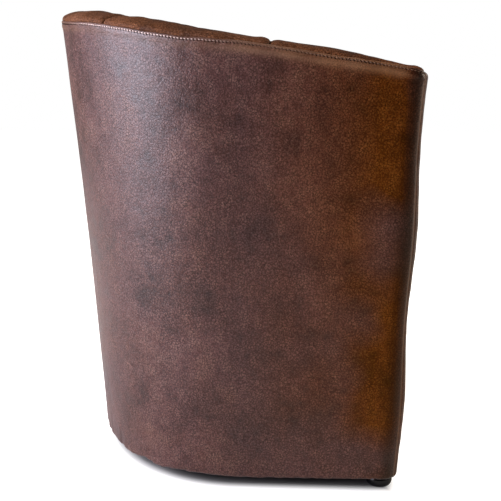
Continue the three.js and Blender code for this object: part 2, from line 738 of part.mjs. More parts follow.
// How far from the middle the seat rails take a strap, across at a place along the seat.
function crossReach(y) {
  const plan = planAt(SEAT_RAIL_TOP);
  const share = Math.max(0, y + BEND_START_LENGTH) / (plan.back + BEND_START_LENGTH - STRAP_GRIP_DEPTH);
  return (plan.halfWidth - STRAP_GRIP_DEPTH) * Math.sqrt(1 - share ** 2);
}

function longReach(x) {
  const plan = planAt(SEAT_RAIL_TOP);
  const share = x / (plan.halfWidth - STRAP_GRIP_DEPTH);
  return (plan.back + BEND_START_LENGTH - STRAP_GRIP_DEPTH) * Math.sqrt(1 - share ** 2) - BEND_START_LENGTH;
}

// A strap that passes over or under the ones it meets. Its run goes along X.
function strapShape(from, to, crossings) {
  const low = SEAT_RAIL_TOP + CLEARANCE;
  const high = low + STRAP_THICKNESS + CLEARANCE;
  const flat = STRAP_WIDTH / 2 + STRAP_THICKNESS;
  const path = [[from, low]];
  for (const [place, over] of crossings) {
    const height = over ? high : low;
    path.push([place - flat, height], [place + flat, height]);
  }
  path.push([to, low]);
  const top = path.map(([along, height]) => [along, height + STRAP_THICKNESS]).reverse();
  const corners = [...path, ...top].map(([along, height]) => new THREE.Vector2(along, height));
  const outline = new THREE.Shape(corners);
  const strap = new THREE.ExtrudeGeometry(outline, { depth: STRAP_WIDTH, bevelEnabled: false });
  return strap.rotateX(Math.PI / 2).translate(0, STRAP_WIDTH / 2, 0);
}

function makeWebbing() {
  const webbing = new THREE.Group();
  LONG_STRAP_PLACES.forEach((x, i) => {
    const front = frontFace(SEAT_RAIL_TOP, 0) + FRAME_BEHIND + CLEARANCE;
    const crossings = CROSS_STRAP_PLACES.map((y, j) => [y, (i + j) % 2 === 0]);
    const strap = strapShape(front, longReach(Math.abs(x) + STRAP_WIDTH / 2), crossings);
    addPiece(webbing, `seat_strap_long_${i + 1}`, strap.rotateZ(Math.PI / 2).translate(x, 0, 0), WEBBING);
  });
  CROSS_STRAP_PLACES.forEach((y, j) => {
    const reach = crossReach(y + STRAP_WIDTH / 2);
    const crossings = LONG_STRAP_PLACES.map((x, i) => [x, (i + j) % 2 === 1]);
    const strap = strapShape(-reach, reach, crossings);
    addPiece(webbing, `seat_strap_cross_${j + 1}`, strap.translate(0, y, 0), WEBBING);
  });
  return webbing;
}

// Seat pad

const SEAT_SIDE_SHARES = [0.1, 0.5];
const SEAT_RING_SHARES = [0.85, 0.65, 0.4, 0.15];
const SEAT_SIDE = [atNose(LEFT, SEAT_SETBACK_DEPTH), ...SEAT_SIDE_SHARES.map((share) => atSide(LEFT, share))];
const SEAT_PLACES = [...SEAT_SIDE, ...turns(0, 180), ...mirrored(SEAT_SIDE)];

// The outline of the seat at a height, drawn in by an inset.
function seatOutline(height, inset) {
  const outline = SEAT_PLACES.map((place) => {
    const depth = liningDepth(place, height) + CLEARANCE + inset;
    return wallPoint(place, depth, height);
  });
  const [left] = outline;
  const front = -planAt(height).front + SEAT_SETBACK_DEPTH + inset;
  left.y = front;
  outline.at(-1).y = front;
  outline.unshift(new THREE.Vector3(left.x / 2, front, height));
  outline.push(new THREE.Vector3(-left.x / 2, front, height));
  return outline;
}

// Loops of the seat from its foot, up its sides, round its rolled edge and over its crown.
function seatLoops(inset) {
  const centre = new THREE.Vector3(0, -SEAT_CENTRE_LENGTH, 0);
  const rollFoot = SEAT_EDGE_HEIGHT - SEAT_ROLL_RADIUS;
  const loops = [seatOutline(PAD_BOTTOM, inset), seatOutline((PAD_BOTTOM + rollFoot) / 2, inset)];
  for (const angle of [0, 30, 60, 90]) {
    const a = THREE.MathUtils.degToRad(angle);
    const radius = SEAT_ROLL_RADIUS - inset;
    loops.push(seatOutline(rollFoot + radius * Math.sin(a), SEAT_ROLL_RADIUS - radius * Math.cos(a)));
  }
  const edge = loops.at(-1);
  for (const share of SEAT_RING_SHARES) {
    loops.push(
      edge.map((point) => {
        const inner = centre.clone().setZ(point.z).lerp(point, share);
        inner.z += SEAT_CROWN_HEIGHT * (1 - share ** 2);
        return inner;
      }),
    );
  }
  return loops;
}

function makeSeat() {
  const seat = new THREE.Group();
  addPiece(seat, "seat_foam", loft(seatLoops(UNDER_COVER)), FOAM);
  addPiece(seat, "seat_cover", loft([...seatLoops(COVER_THICKNESS).reverse(), ...seatLoops(0)]), LEATHER);
  return seat;
}

// Padding of the back and arms

function wallFoam(places) {
  return sweepWall(places, (place) => {
    const over = topRailTop(place) + SOFT_CLEARANCE;
    const chain = liningChain(place, FOAM_INSET, PAD_BOTTOM);
    const outer = levelsBetween(PAD_BOTTOM, over).map((height) => [FOAM_DEPTH, height]);
    return [...outer, [TIMBER_DEPTH, over], ...chain];
  });
}

const BACK_SEAM_CLEAR = THREE.MathUtils.radToDeg(CLEARANCE / 2 / BASE_BACK_LENGTH);
const SEAM_SHOULDER_TURN = THREE.MathUtils.radToDeg(SEAM_SPREAD_WIDTH / RIM_BACK_LENGTH);
const SEAM_SHOULDER_SHARE = SEAM_SPREAD_WIDTH / RIM_SIDE;

// Places of the back's padding between its two seams, closer together beside each seam.
const BACK_PLACES = [
  atTurn(BACK_SEAM_TURN + BACK_SEAM_CLEAR),
  atTurn(BACK_SEAM_TURN + SEAM_SHOULDER_TURN / 2),
  ...turns(BACK_SEAM_TURN + SEAM_SHOULDER_TURN, 180 - BACK_SEAM_TURN - SEAM_SHOULDER_TURN),
  atTurn(180 - BACK_SEAM_TURN - SEAM_SHOULDER_TURN / 2),
  atTurn(180 - BACK_SEAM_TURN - BACK_SEAM_CLEAR),
];

// Places of the padding between the arm seam and the back seam on the left.
const FLANK_PLACES = [
  atSide(LEFT, ARM_SEAM_SHARE + SHARE_CLEAR / 2),
  atSide(LEFT, ARM_SEAM_SHARE + SEAM_SHOULDER_SHARE / 2),
  atSide(LEFT, ARM_SEAM_SHARE + SEAM_SHOULDER_SHARE),
  ...turns(0, BACK_SEAM_TURN - SEAM_SHOULDER_TURN),
  atTurn(BACK_SEAM_TURN - SEAM_SHOULDER_TURN / 2),
  atTurn(BACK_SEAM_TURN - BACK_SEAM_CLEAR),
];

// Places of the arm's cover in front of its seam, from the facing backwards.
const ARM_ROUND_SHARES = [0, 0.11, 0.28, 0.58];
const armRound = (share) => THREE.MathUtils.lerp(FACING_EDGE_DEPTH + CLEARANCE, NOSE_RADIUS, share);
const ARM_PLACES = [
  ...ARM_ROUND_SHARES.map((share) => atNose(LEFT, armRound(share))),
  atSide(LEFT, 0),
  atSide(LEFT, ARM_MIDDLE_SHARE),
  atSide(LEFT, ARM_SEAM_SHARE - SEAM_SHOULDER_SHARE),
  atSide(LEFT, ARM_SEAM_SHARE - SEAM_SHOULDER_SHARE / 2),
  atSide(LEFT, ARM_SEAM_SHARE - SHARE_CLEAR / 2),
];

function makePadding() {
  const padding = new THREE.Group();
  addPiece(padding, "back_foam", wallFoam(BACK_PLACES), FOAM);
  for (const [word, onSide] of SIDES) {
    const arm = ARM_PLACES.filter((place) => place.share > 0);
    const places = [atNose(LEFT, FRAME_BEHIND), ...arm, ...FLANK_PLACES];
    addPiece(padding, `arm_foam_${word}`, wallFoam(onSide(places)), FOAM);
    const side = word === "left" ? LEFT : RIGHT;
    addPiece(padding, `arm_front_foam_${word}`, noseFoam(side), FOAM);
  }
  return padding;
}

// The outline of an arm's front seen from ahead, a distance behind its face.
function noseLoop(side, behind, inset, foot) {
  const place = atNose(side, behind);
  const crown = crownChain(place, inset);
  const [start, shoulder] = crown[0];
  const [edge, hip] = crown.at(-1);
  const outer = levelsBetween(foot, shoulder).slice(0, -1).map((height) => [start, height]);
  const inner = levelsBetween(foot, hip).slice(0, -1).map((height) => [edge, height]);
  return pointsAt(place, [...outer, ...crown, ...inner.reverse()]);
}

// The foam over an arm's front, from its face back to the frame.
const NOSE_ROUND_SHARES = [0, 0.11, 0.25, 0.53, 1];

function noseFoam(side) {
  const round = NOSE_ROUND_SHARES.map((share) => THREE.MathUtils.lerp(FOAM_INSET, NOSE_TOP_RADIUS, share));
  const steps = [...round, FRAME_BEHIND - CLEARANCE];
  return loft(steps.map((behind) => noseLoop(side, behind, FOAM_INSET, BASE_RAIL_TOP + CLEARANCE)));
}

// Covers

function liningSkin(places) {
  return sweepWall(places, (place) =>
    ribbon(liningChain(place, 0, PAD_BOTTOM), liningChain(place, COVER_THICKNESS, PAD_BOTTOM)),
  );
}

// A shallow tray that closes an arm's front: from its floor up the inside of its rim, and back outside.
const FACING_INSIDE_SHARES = [0, 0.11, 0.43, 1];
const FACING_OUTSIDE_SHARES = [1, 0.67, 0.4, 0.18, 0.05, 0];

function facingShape(side) {
  const { lerp } = THREE.MathUtils;
  const inner = FACING_INSIDE_SHARES.map((share) => lerp(COVER_THICKNESS, FACING_EDGE_DEPTH, share));
  const outer = FACING_OUTSIDE_SHARES.map((share) => FACING_EDGE_DEPTH * share);
  return loft([
    ...inner.map((behind) => noseLoop(side, behind, COVER_THICKNESS, SHELL_BOTTOM + COVER_THICKNESS)),
    ...outer.map((behind) => noseLoop(side, behind, 0, SHELL_BOTTOM)),
  ]);
}

// The outside cover ends at the facings: its corners are shares of the turn from there to the side.
const CORNER_SHARES = [1, 0.75, 0.5, 0.25];

function outsideSkin() {
  const edge = THREE.MathUtils.radToDeg(Math.asin(1 - (FACING_EDGE_DEPTH + CLEARANCE) / NOSE_RADIUS));
  const corner = CORNER_SHARES.map((share) => atCorner(LEFT, edge * share));
  const left = [...corner, ...LEFT_SIDE];
  const places = [...left, ...WHOLE_BACK, ...mirrored(left)];
  return sweepWall(places, (place) => ribbon(outsideChain(place, 0), outsideChain(place, COVER_THICKNESS)));
}

function dustCover() {
  const left = [atNose(LEFT, DUST_COVER_INSET), atSide(LEFT, 0), ...turns(0, 90 - BEND_STEP)];
  const places = [...left, ...mirrored(left)];
  const loops = [DUST_BOTTOM, DUST_BOTTOM + DUST_COVER_THICKNESS].map((height) =>
    places.map((place) => wallPoint(place, DUST_COVER_INSET, SHELL_BOTTOM).setZ(height)),
  );
  return drilled(loft(loops), FOOT_PLACES.map(([, place]) => place));
}

function makeCovers() {
  const covers = new THREE.Group();
  addPiece(covers, "outer_cover", outsideSkin(), LEATHER);
  addPiece(covers, "back_lining", liningSkin(BACK_PLACES), SHADED_LEATHER);
  for (const [word, onSide] of SIDES) {
    addPiece(covers, `flank_lining_${word}`, liningSkin(onSide(FLANK_PLACES)), SHADED_LEATHER);
    addPiece(covers, `arm_lining_${word}`, liningSkin(onSide(ARM_PLACES)), SHADED_LEATHER);
    const side = word === "left" ? LEFT : RIGHT;
    addPiece(covers, `arm_facing_${word}`, facingShape(side), LEATHER);
  }
  addPiece(covers, "front_cover", frontCover(), LEATHER);
  addPiece(covers, "dust_cover", dustCover(), BLACK_CLOTH);
  return covers;
}

parts.add(makeTimber(), makeFeet(), makeBoards(), makeWebbing(), makeSeat(), makePadding(), makeCovers());

export default parts;
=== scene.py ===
import json
import math

import bmesh
import bpy
import numpy as np
from mathutils import Matrix, Vector, noise


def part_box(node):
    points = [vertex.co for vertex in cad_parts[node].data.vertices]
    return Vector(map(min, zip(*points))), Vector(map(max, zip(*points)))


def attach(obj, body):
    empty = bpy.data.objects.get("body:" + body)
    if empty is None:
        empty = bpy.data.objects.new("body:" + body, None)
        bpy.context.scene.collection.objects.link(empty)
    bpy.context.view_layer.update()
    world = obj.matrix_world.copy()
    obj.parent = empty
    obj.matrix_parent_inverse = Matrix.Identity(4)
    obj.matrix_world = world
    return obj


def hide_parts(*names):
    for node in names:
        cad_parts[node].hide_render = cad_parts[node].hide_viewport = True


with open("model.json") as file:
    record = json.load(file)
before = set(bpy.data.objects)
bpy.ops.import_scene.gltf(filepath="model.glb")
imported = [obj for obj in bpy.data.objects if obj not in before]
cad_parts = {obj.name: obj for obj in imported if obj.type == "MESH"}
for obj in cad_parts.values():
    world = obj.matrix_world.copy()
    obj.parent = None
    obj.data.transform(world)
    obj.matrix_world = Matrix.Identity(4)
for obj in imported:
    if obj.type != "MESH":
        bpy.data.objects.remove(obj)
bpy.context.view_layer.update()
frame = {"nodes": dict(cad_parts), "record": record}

# Looks of a tub chair in antique brown faux leather. Metres, in the frame of the solid model:
# X runs across, the chair faces -Y, Z is up, and the floor is at zero.

MM = 0.001
NODES = frame["nodes"]

# The shell's outline at its foot and at the height of the rim seam behind the sitter
BASE_WIDTH = 590 * MM
BASE_FRONT = 279 * MM
BASE_BACK = 243 * MM
RIM_WIDTH = 656 * MM
RIM_FRONT = 299 * MM
RIM_BACK = 296 * MM
BEND_START = 13 * MM
BACK_HOLLOW = 4 * MM
SHELL_BOTTOM = 22.6 * MM

# The rim seam and the padded crown above it
SEAM_FRONT = 657 * MM
SEAM_BACK = 738 * MM
SEAM_SWEEP_SHARE = 0.74
CROWN_FRONT = 4.5 * MM
CROWN_BACK = 17 * MM
CROWN_RISE_START = 150 * MM
CROWN_RISE_LENGTH = 330 * MM
CROWN_PEAK_DEPTH = 36 * MM
CROWN_DROP = 26 * MM

# Rounding of the arm fronts
NOSE_RADIUS = 30 * MM
NOSE_TOP_RADIUS = 14 * MM
NOSE_INNER_RADIUS = 12 * MM
FACING_EDGE = 6 * MM
FRONT_WAVE = 2.6 * MM
FRONT_WAVE_LENGTH = 280 * MM
FRONT_WAVE_CREST = 422 * MM
FRONT_WAVE_FADE = 27.1 * MM

# Walls and padding
WALL = 88 * MM
LUMBAR = 14 * MM
ARM_SEAM_SHARE = 0.77
BACK_SEAM_TURN = math.radians(39)
SEAM_DRAW = 4 * MM
SEAM_SPREAD = 24 * MM
SEAM_TOP_SHARE = 0.35
LEATHER_THICKNESS = 1.6 * MM
HEM_RADIUS = 6 * MM
HEM_FOOT = SHELL_BOTTOM + HEM_RADIUS

# Seat
PAD_BOTTOM = 343.3 * MM
SEAT_EDGE_HEIGHT = 426 * MM
SEAT_CROWN = 26 * MM
SEAT_ROLL = 22 * MM
SEAT_SETBACK = 6 * MM
SEAT_CENTRE = 40 * MM
SIDE_GAP = 0.3 * MM

# Glides
FOOT_HEIGHT = 21 * MM
FOOT_RADIUS = 21 * MM
FOOT_SOLE_RADIUS = 12.5 * MM
FOOT_ROUND_HEIGHT = 9 * MM
FOOT_RECESS_RADIUS = 8 * MM
FOOT_RECESS_DEPTH = 8 * MM
DUST_INSET = 12 * MM
DUST_BOTTOM = 21.4 * MM
DUST_THICKNESS = 0.8 * MM
DUST_SIDES = 160
DUST_SLACK = 0.25 * MM
DUST_CENTRE = 30 * MM
DUST_RINGS = 15
DUST_MIDDLE_SHARE = 0.02

# Blender's noise keeps within about 0.6 of zero, and this brings it to about 1
NOISE_GAIN = 1.6

# Stitching along the rim: sizes are length, height and thickness
STITCH_PITCH = 5.3 * MM
STITCH_SIZE = (3.7 * MM, 1.8 * MM, 1.6 * MM)
STITCH_DROP = 2.0 * MM
HOLE_SIZE = (2.0 * MM, 1.7 * MM, 1.2 * MM)
HOLE_DROP = 3.7 * MM
HOLE_DEPTH = -0.1 * MM
STITCH_TILT = math.radians(7)
STITCH_END = 3 * MM
STITCH_DEPTH = -0.3 * MM


def lerp(start, end, share):
    return start + (end - start) * share


def ease(share):
    """A share held within 0 and 1 and smoothed at both ends."""
    share = np.clip(share, 0, 1)
    return share * share * (3 - 2 * share)


def onset(distance, start, length):
    """A share that rises smoothly past a start over a length, both in millimetres."""
    return ease((distance / MM - start) / length)


def bump(distance, middle, width):
    """A rounded ridge across a distance, with its middle and width in millimetres."""
    return np.exp(-(((distance / MM - middle) / width) ** 2))


def fading(distance, reach):
    """A share that dies away past the start of a distance, with its reach in millimetres."""
    return np.exp(-np.maximum(distance, 0) / (reach * MM))


def closer_ends(count):
    """Shares from 0 to 1 that lie closer together near their ends."""
    even = np.linspace(0, 1, count)
    return lerp(even, (1 - np.cos(math.pi * even)) / 2, 0.5)


# Places on the wall. A station is a distance along the outside of the rim from the middle of the
# back, negative on the side of -X and positive on the other.

TURNS = np.linspace(0, math.pi / 2, 721)
RIM_STEPS = np.hypot(
    np.diff(RIM_WIDTH / 2 * np.sin(TURNS)),
    np.diff((RIM_BACK + BEND_START) * np.cos(TURNS)),
)
TURN_STATIONS = np.concatenate([[0], np.cumsum(RIM_STEPS)])
BEND_END = TURN_STATIONS[-1]
RIM_SIDE = RIM_FRONT - NOSE_RADIUS - BEND_START
SIDE_END = BEND_END + RIM_SIDE
CORNER_TURN = math.asin(1 - FACING_EDGE / NOSE_RADIUS)
CORNER_END = SIDE_END + CORNER_TURN * NOSE_RADIUS
LINING_END = SIDE_END + NOSE_RADIUS - FACING_EDGE
ARM_SEAM = BEND_END + (1 - ARM_SEAM_SHARE) * RIM_SIDE
BACK_SEAM = float(np.interp(math.pi / 2 - BACK_SEAM_TURN, TURNS, TURN_STATIONS))


def plan(height):
    """Share of the way up, half width, front and back of the shell at a height."""
    share = (height - SHELL_BOTTOM) / (SEAM_BACK - SHELL_BOTTOM)
    return (
        share,
        lerp(BASE_WIDTH, RIM_WIDTH, share) / 2,
        lerp(BASE_FRONT, RIM_FRONT, share),
        lerp(BASE_BACK, RIM_BACK, share),
    )


def wave(height, behind):
    """How far the padding swells past an arm's front."""
    fade = np.maximum(0, 1 - behind / FRONT_WAVE_FADE) ** 2
    return FRONT_WAVE * fade * np.cos(2 * math.pi * (height - FRONT_WAVE_CREST) / FRONT_WAVE_LENGTH)


def wall(station, depth, height, rounded=False):
    """Points of the wall at stations, depths in from its outside face, and heights.
    Past the straight side they either run on to the front or go round the arm's corner."""
    station, depth, height = np.broadcast_arrays(station, depth, height)
    along = np.abs(station)
    share, half, front, back = plan(height)
    turn = np.interp(along, TURN_STATIONS, TURNS)
    hollow = BACK_HOLLOW * np.sin(math.pi * np.clip(share, 0, 1)) * np.cos(turn) ** 2
    bend_x = (half - depth) * np.sin(turn)
    bend_y = (back + BEND_START - hollow - depth) * np.cos(turn) - BEND_START
    past = np.maximum(along - SIDE_END, 0)
    if rounded:
        behind = NOSE_RADIUS - (NOSE_RADIUS - depth) * np.sin(past / NOSE_RADIUS)
        inward = NOSE_RADIUS - (NOSE_RADIUS - depth) * np.cos(past / NOSE_RADIUS)
    else:
        behind = NOSE_RADIUS - past
        inward = depth
    part = np.clip((along - BEND_END) / RIM_SIDE, 0, 1)
    side_y = lerp(-BEND_START, behind - front, part)
    swell = np.where(part < 1, 0, wave(height, behind))
    in_bend = along < BEND_END
    x = np.where(in_bend, bend_x, half - inward) * np.where(station < 0, -1, 1)
    y = np.where(in_bend, bend_y, side_y - swell)
    return np.stack([x, y, height], axis=-1)


def behind_front(station, rounded=False):
    """How far behind the arm's front a station lies, where that is within the rounding."""
    past = np.abs(station) - SIDE_END
    if rounded:
        near = NOSE_RADIUS * (1 - np.sin(np.maximum(past, 0) / NOSE_RADIUS))
    else:
        near = NOSE_RADIUS - past
    return np.where(past < 0, NOSE_RADIUS, near)


def edge_loss(distance, radius):
    """How far a face with a rounded edge falls back, a distance in from the edge."""
    return radius - np.sqrt(radius**2 - np.clip(radius - distance, 0, radius) ** 2)


# How far the rim seam strays from its sweep, and how much fuller the crown is in places, on the
# side of -X: a station with a height, all in millimetres.
SEAM_STRAYS = [(-751, 1.0), (-700, 0.4), (-644, -0.9), (-566, 0.7), (-521, 1.2), (-463, -1.2)]
SEAM_STRAYS += [(-433, -3.0), (-377, -1.8), (-328, 0.4), (-284, 1.8), (-250, 2.0), (-170, 0), (0, 0)]
CROWN_LUMPS = [(-760, -0.4), (-729, 0.9), (-705, 2.2), (-682, 4.2), (-645, 6.1), (-617, 5.4)]
CROWN_LUMPS += [(-591, 4.2), (-566, 2.9), (-526, 1.0), (-470, 2.4), (-435, 2.2), (-404, 3.4)]
CROWN_LUMPS += [(-380, 2.6), (-345, 0.8), (-298, -3.3), (-256, -1.5), (-222, 0.6), (-150, 0), (0, 0)]


def along_rim(station, places):
    """Values in millimetres given at places along the rim, joined smoothly."""
    at, value = np.array(places).T
    near = np.searchsorted(at, station / MM).clip(1, len(at) - 1)
    share = ease((station / MM - at[near - 1]) / (at[near] - at[near - 1]))
    return lerp(value[near - 1], value[near], share) * MM


def seam_height(station, rounded=False):
    y = wall(station, 0.0, SEAM_BACK, rounded)[..., 1]
    share = np.clip((y + RIM_FRONT) / (RIM_FRONT + RIM_BACK), 0, 1) ** SEAM_SWEEP_SHARE
    return lerp(SEAM_FRONT, SEAM_BACK, share) + along_rim(station, SEAM_STRAYS)


def crown_height(station):
    y = wall(station, 0.0, SEAM_BACK)[..., 1]
    return lerp(CROWN_FRONT, CROWN_BACK, ease((y + CROWN_RISE_START) / CROWN_RISE_LENGTH))


def lining_depth(station, height):
    """Depth of the inside face, fuller low down in the middle of the back."""
    top = SEAM_BACK - CROWN_DROP
    share = np.clip((top - height) / (top - SEAT_EDGE_HEIGHT), 0, 1)
    turn = np.interp(np.abs(station), TURN_STATIONS, TURNS)
    return WALL + LUMBAR * share * np.cos(turn) ** 2


def ripple(along, up, long, tall, seed):
    """Smooth noise of about -1 to 1 over a flat lie, with lumps of given sizes in millimetres."""
    along, up = np.broadcast_arrays(along, up)
    spots = zip(along.ravel() / (long * MM), up.ravel() / (tall * MM))
    values = [noise.noise(Vector((a, b, seed))) for a, b in spots]
    return np.array(values).reshape(along.shape) * NOISE_GAIN


def faces_out(points):
    """Unit normals of a grid of points."""
    normal = np.cross(np.gradient(points, axis=1), np.gradient(points, axis=0))
    return normal / np.maximum(np.linalg.norm(normal, axis=-1, keepdims=True), 1e-12)


def raised(points, relief):
    """A grid of points moved out along its normals, by a relief in millimetres."""
    return points + faces_out(points) * relief[..., None] * MM


# Making pieces


def mesh_of(bm, name):
    """A smoothly shaded mesh of what a bmesh holds, which is then freed."""
    mesh = bpy.data.meshes.new(name)
    bm.to_mesh(mesh)
    bm.free()
    mesh.shade_smooth()
    return mesh


def skin(name, points, relief, lie, nodes, slot, painted_light=None):
    """A leather piece from rows and columns of points and a relief over them, with its flat lie in
    metres as UV map, and where it is given, its painted light at each point: a painted highlight above
    zero and painted shade below it."""
    points = raised(points, relief)
    flat = np.stack(lie, axis=-1)
    rows, columns = points.shape[:2]
    bm = bmesh.new()
    bmesh.ops.create_grid(bm, x_segments=columns - 1, y_segments=rows - 1, size=1)
    mesh = mesh_of(bm, name)
    unit = np.empty(len(mesh.vertices) * 3)
    mesh.vertices.foreach_get("co", unit)
    unit = (unit.reshape(-1, 3) + 1) / 2
    column = np.rint(unit[:, 0] * (columns - 1)).astype(int)
    row = np.rint(unit[:, 1] * (rows - 1)).astype(int)
    mesh.vertices.foreach_set("co", points[row, column].ravel())
    corners = np.empty(len(mesh.loops), int)
    mesh.loops.foreach_get("vertex_index", corners)
    flat_map = mesh.uv_layers.new(name="Flat")
    flat_map.data.foreach_set("uv", flat[row, column][corners].ravel())
    if painted_light is not None:
        rubbed = mesh.attributes.new("painted_light", "FLOAT", "POINT")
        rubbed.data.foreach_set("value", painted_light[row, column].astype(np.float32))
    return piece(name, mesh, nodes, slot)


def placed(name, data):
    """An object with its data, in the scene."""
    thing = bpy.data.objects.new(name, data)
    bpy.context.scene.collection.objects.link(thing)
    return thing


def piece(name, mesh, nodes=(), slot=None, material=None):
    """An object of the chair, standing for nodes of the solid model, in the material of its slot
    or one of its own."""
    thing = placed(name, mesh)
    mesh.materials.append(material or SLOT_FINISHES[slot])
    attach(thing, "root")
    if nodes:
        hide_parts(*nodes)
    return thing


def thicken(thing, thickness=LEATHER_THICKNESS):
    """Gives a skin its thickness, inwards from its face."""
    solid = thing.modifiers.new("Thickness", "SOLIDIFY")
    solid.thickness = thickness
    solid.offset = -1
    solid.use_even_offset = True


def lofted(name, outlines, closed=True):
    """A mesh drawn through outlines of equal counts of points, capped at its end, and closed at
    its start unless it is a sheet. A sheet faces down."""
    bm = bmesh.new()
    bmesh.ops.create_circle(bm, segments=len(outlines[0]), radius=1, cap_ends=True)
    order = bm.verts.layers.int.new("order")
    bm.faces.ensure_lookup_table()
    face = bm.faces[0]
    for index, vertex in enumerate(face.verts):
        vertex[order] = index
        vertex.co = outlines[0][index]
    passed = []
    for outline in outlines[1:]:
        passed.append(face)
        made = bmesh.ops.extrude_face_region(bm, geom=[face])["geom"]
        face = next(item for item in made if isinstance(item, bmesh.types.BMFace))
        for vertex in face.verts:
            vertex.co = outline[vertex[order]]
    bmesh.ops.delete(bm, geom=passed[1:] if closed else passed, context="FACES_ONLY")
    bmesh.ops.recalc_face_normals(bm, faces=bm.faces[:])
    if not closed and sum(face.normal.z for face in bm.faces) > 0:
        bmesh.ops.reverse_faces(bm, faces=bm.faces[:])
    return mesh_of(bm, name)


# Finishes


def linear(colour):
    """A colour written as sRGB hex, as the linear values that a shader takes."""
    values = [int(colour[i : i + 2], 16) / 255 for i in (1, 3, 5)]
    return [v / 12.92 if v < 0.04045 else ((v + 0.055) / 1.055) ** 2.4 for v in values] + [1]


def add(material, kind, *values, named=None, stops=(), **settings):
    """Adds a shader node with its settings and a ramp's stops. Values and links go to its inputs in
    order, and named ones by name. A node given as a link stands for its first output."""
    made = material.node_tree.nodes.new("ShaderNode" + kind)
    for name, value in settings.items():
        setattr(made, name, value)
    inputs = list(zip([socket for socket in made.inputs if socket.enabled], values))
    inputs += [(made.inputs[name], value) for name, value in (named or {}).items()]
    for socket, value in inputs:
        if isinstance(value, bpy.types.Node):
            value = next(output for output in value.outputs if output.enabled)
        if isinstance(value, bpy.types.NodeSocket):
            material.node_tree.links.new(value, socket)
        else:
            socket.default_value = value
    for i, (position, colour) in enumerate(stops):
        ramp = made.color_ramp.elements
        stop = ramp[i] if i < 2 else ramp.new(position)
        stop.position = position
        stop.color = linear(colour)
    return made


def begin(name):
    """A new material without nodes, and the Object coordinates that its patterns lie on."""
    material = bpy.data.materials.new(name)
    material.use_nodes = True
    material.node_tree.nodes.clear()
    return material, add(material, "TexCoord").outputs["Object"]


def complete(material, colour, reliefs, sockets):
    """Gives a material its shader: its colour, its reliefs as pattern, strength and depth, and what
    its other sockets take."""
    normal = {}
    for pattern, strength, depth in reliefs:
        named = {"Height": pattern, "Strength": strength, "Distance": depth, **normal}
        normal = {"Normal": add(material, "Bump", named=named)}
    shader = add(material, "BsdfPrincipled", named={"Base Color": colour, **normal, **sockets})
    add(material, "OutputMaterial", shader)
    return material


# Antique faux leather: polyurethane printed with a fine worming grain and rubbed with wax, so that
# the grain's tops are worn paler and its hollows stay dark, in soft clouds over the whole hide. A
# real print's pebbles are 1 to 2 mm wide. They are drawn coarser, so that they show at this size.
AMBER_PATCH = 210 * MM
CLOUD = 80 * MM
MOTTLE = 20 * MM
GRAIN = 4.2 * MM
GRAIN_STIR = 1.1 * MM
FLECK = 2.2 * MM
STREAK = 7 * MM
# How far along itself a streak, or a growth line of timber, is drawn out
STREAK_DRAW = 0.06
GROWTH_DRAW = 0.08
THREAD_TWIST = 0.7 * MM


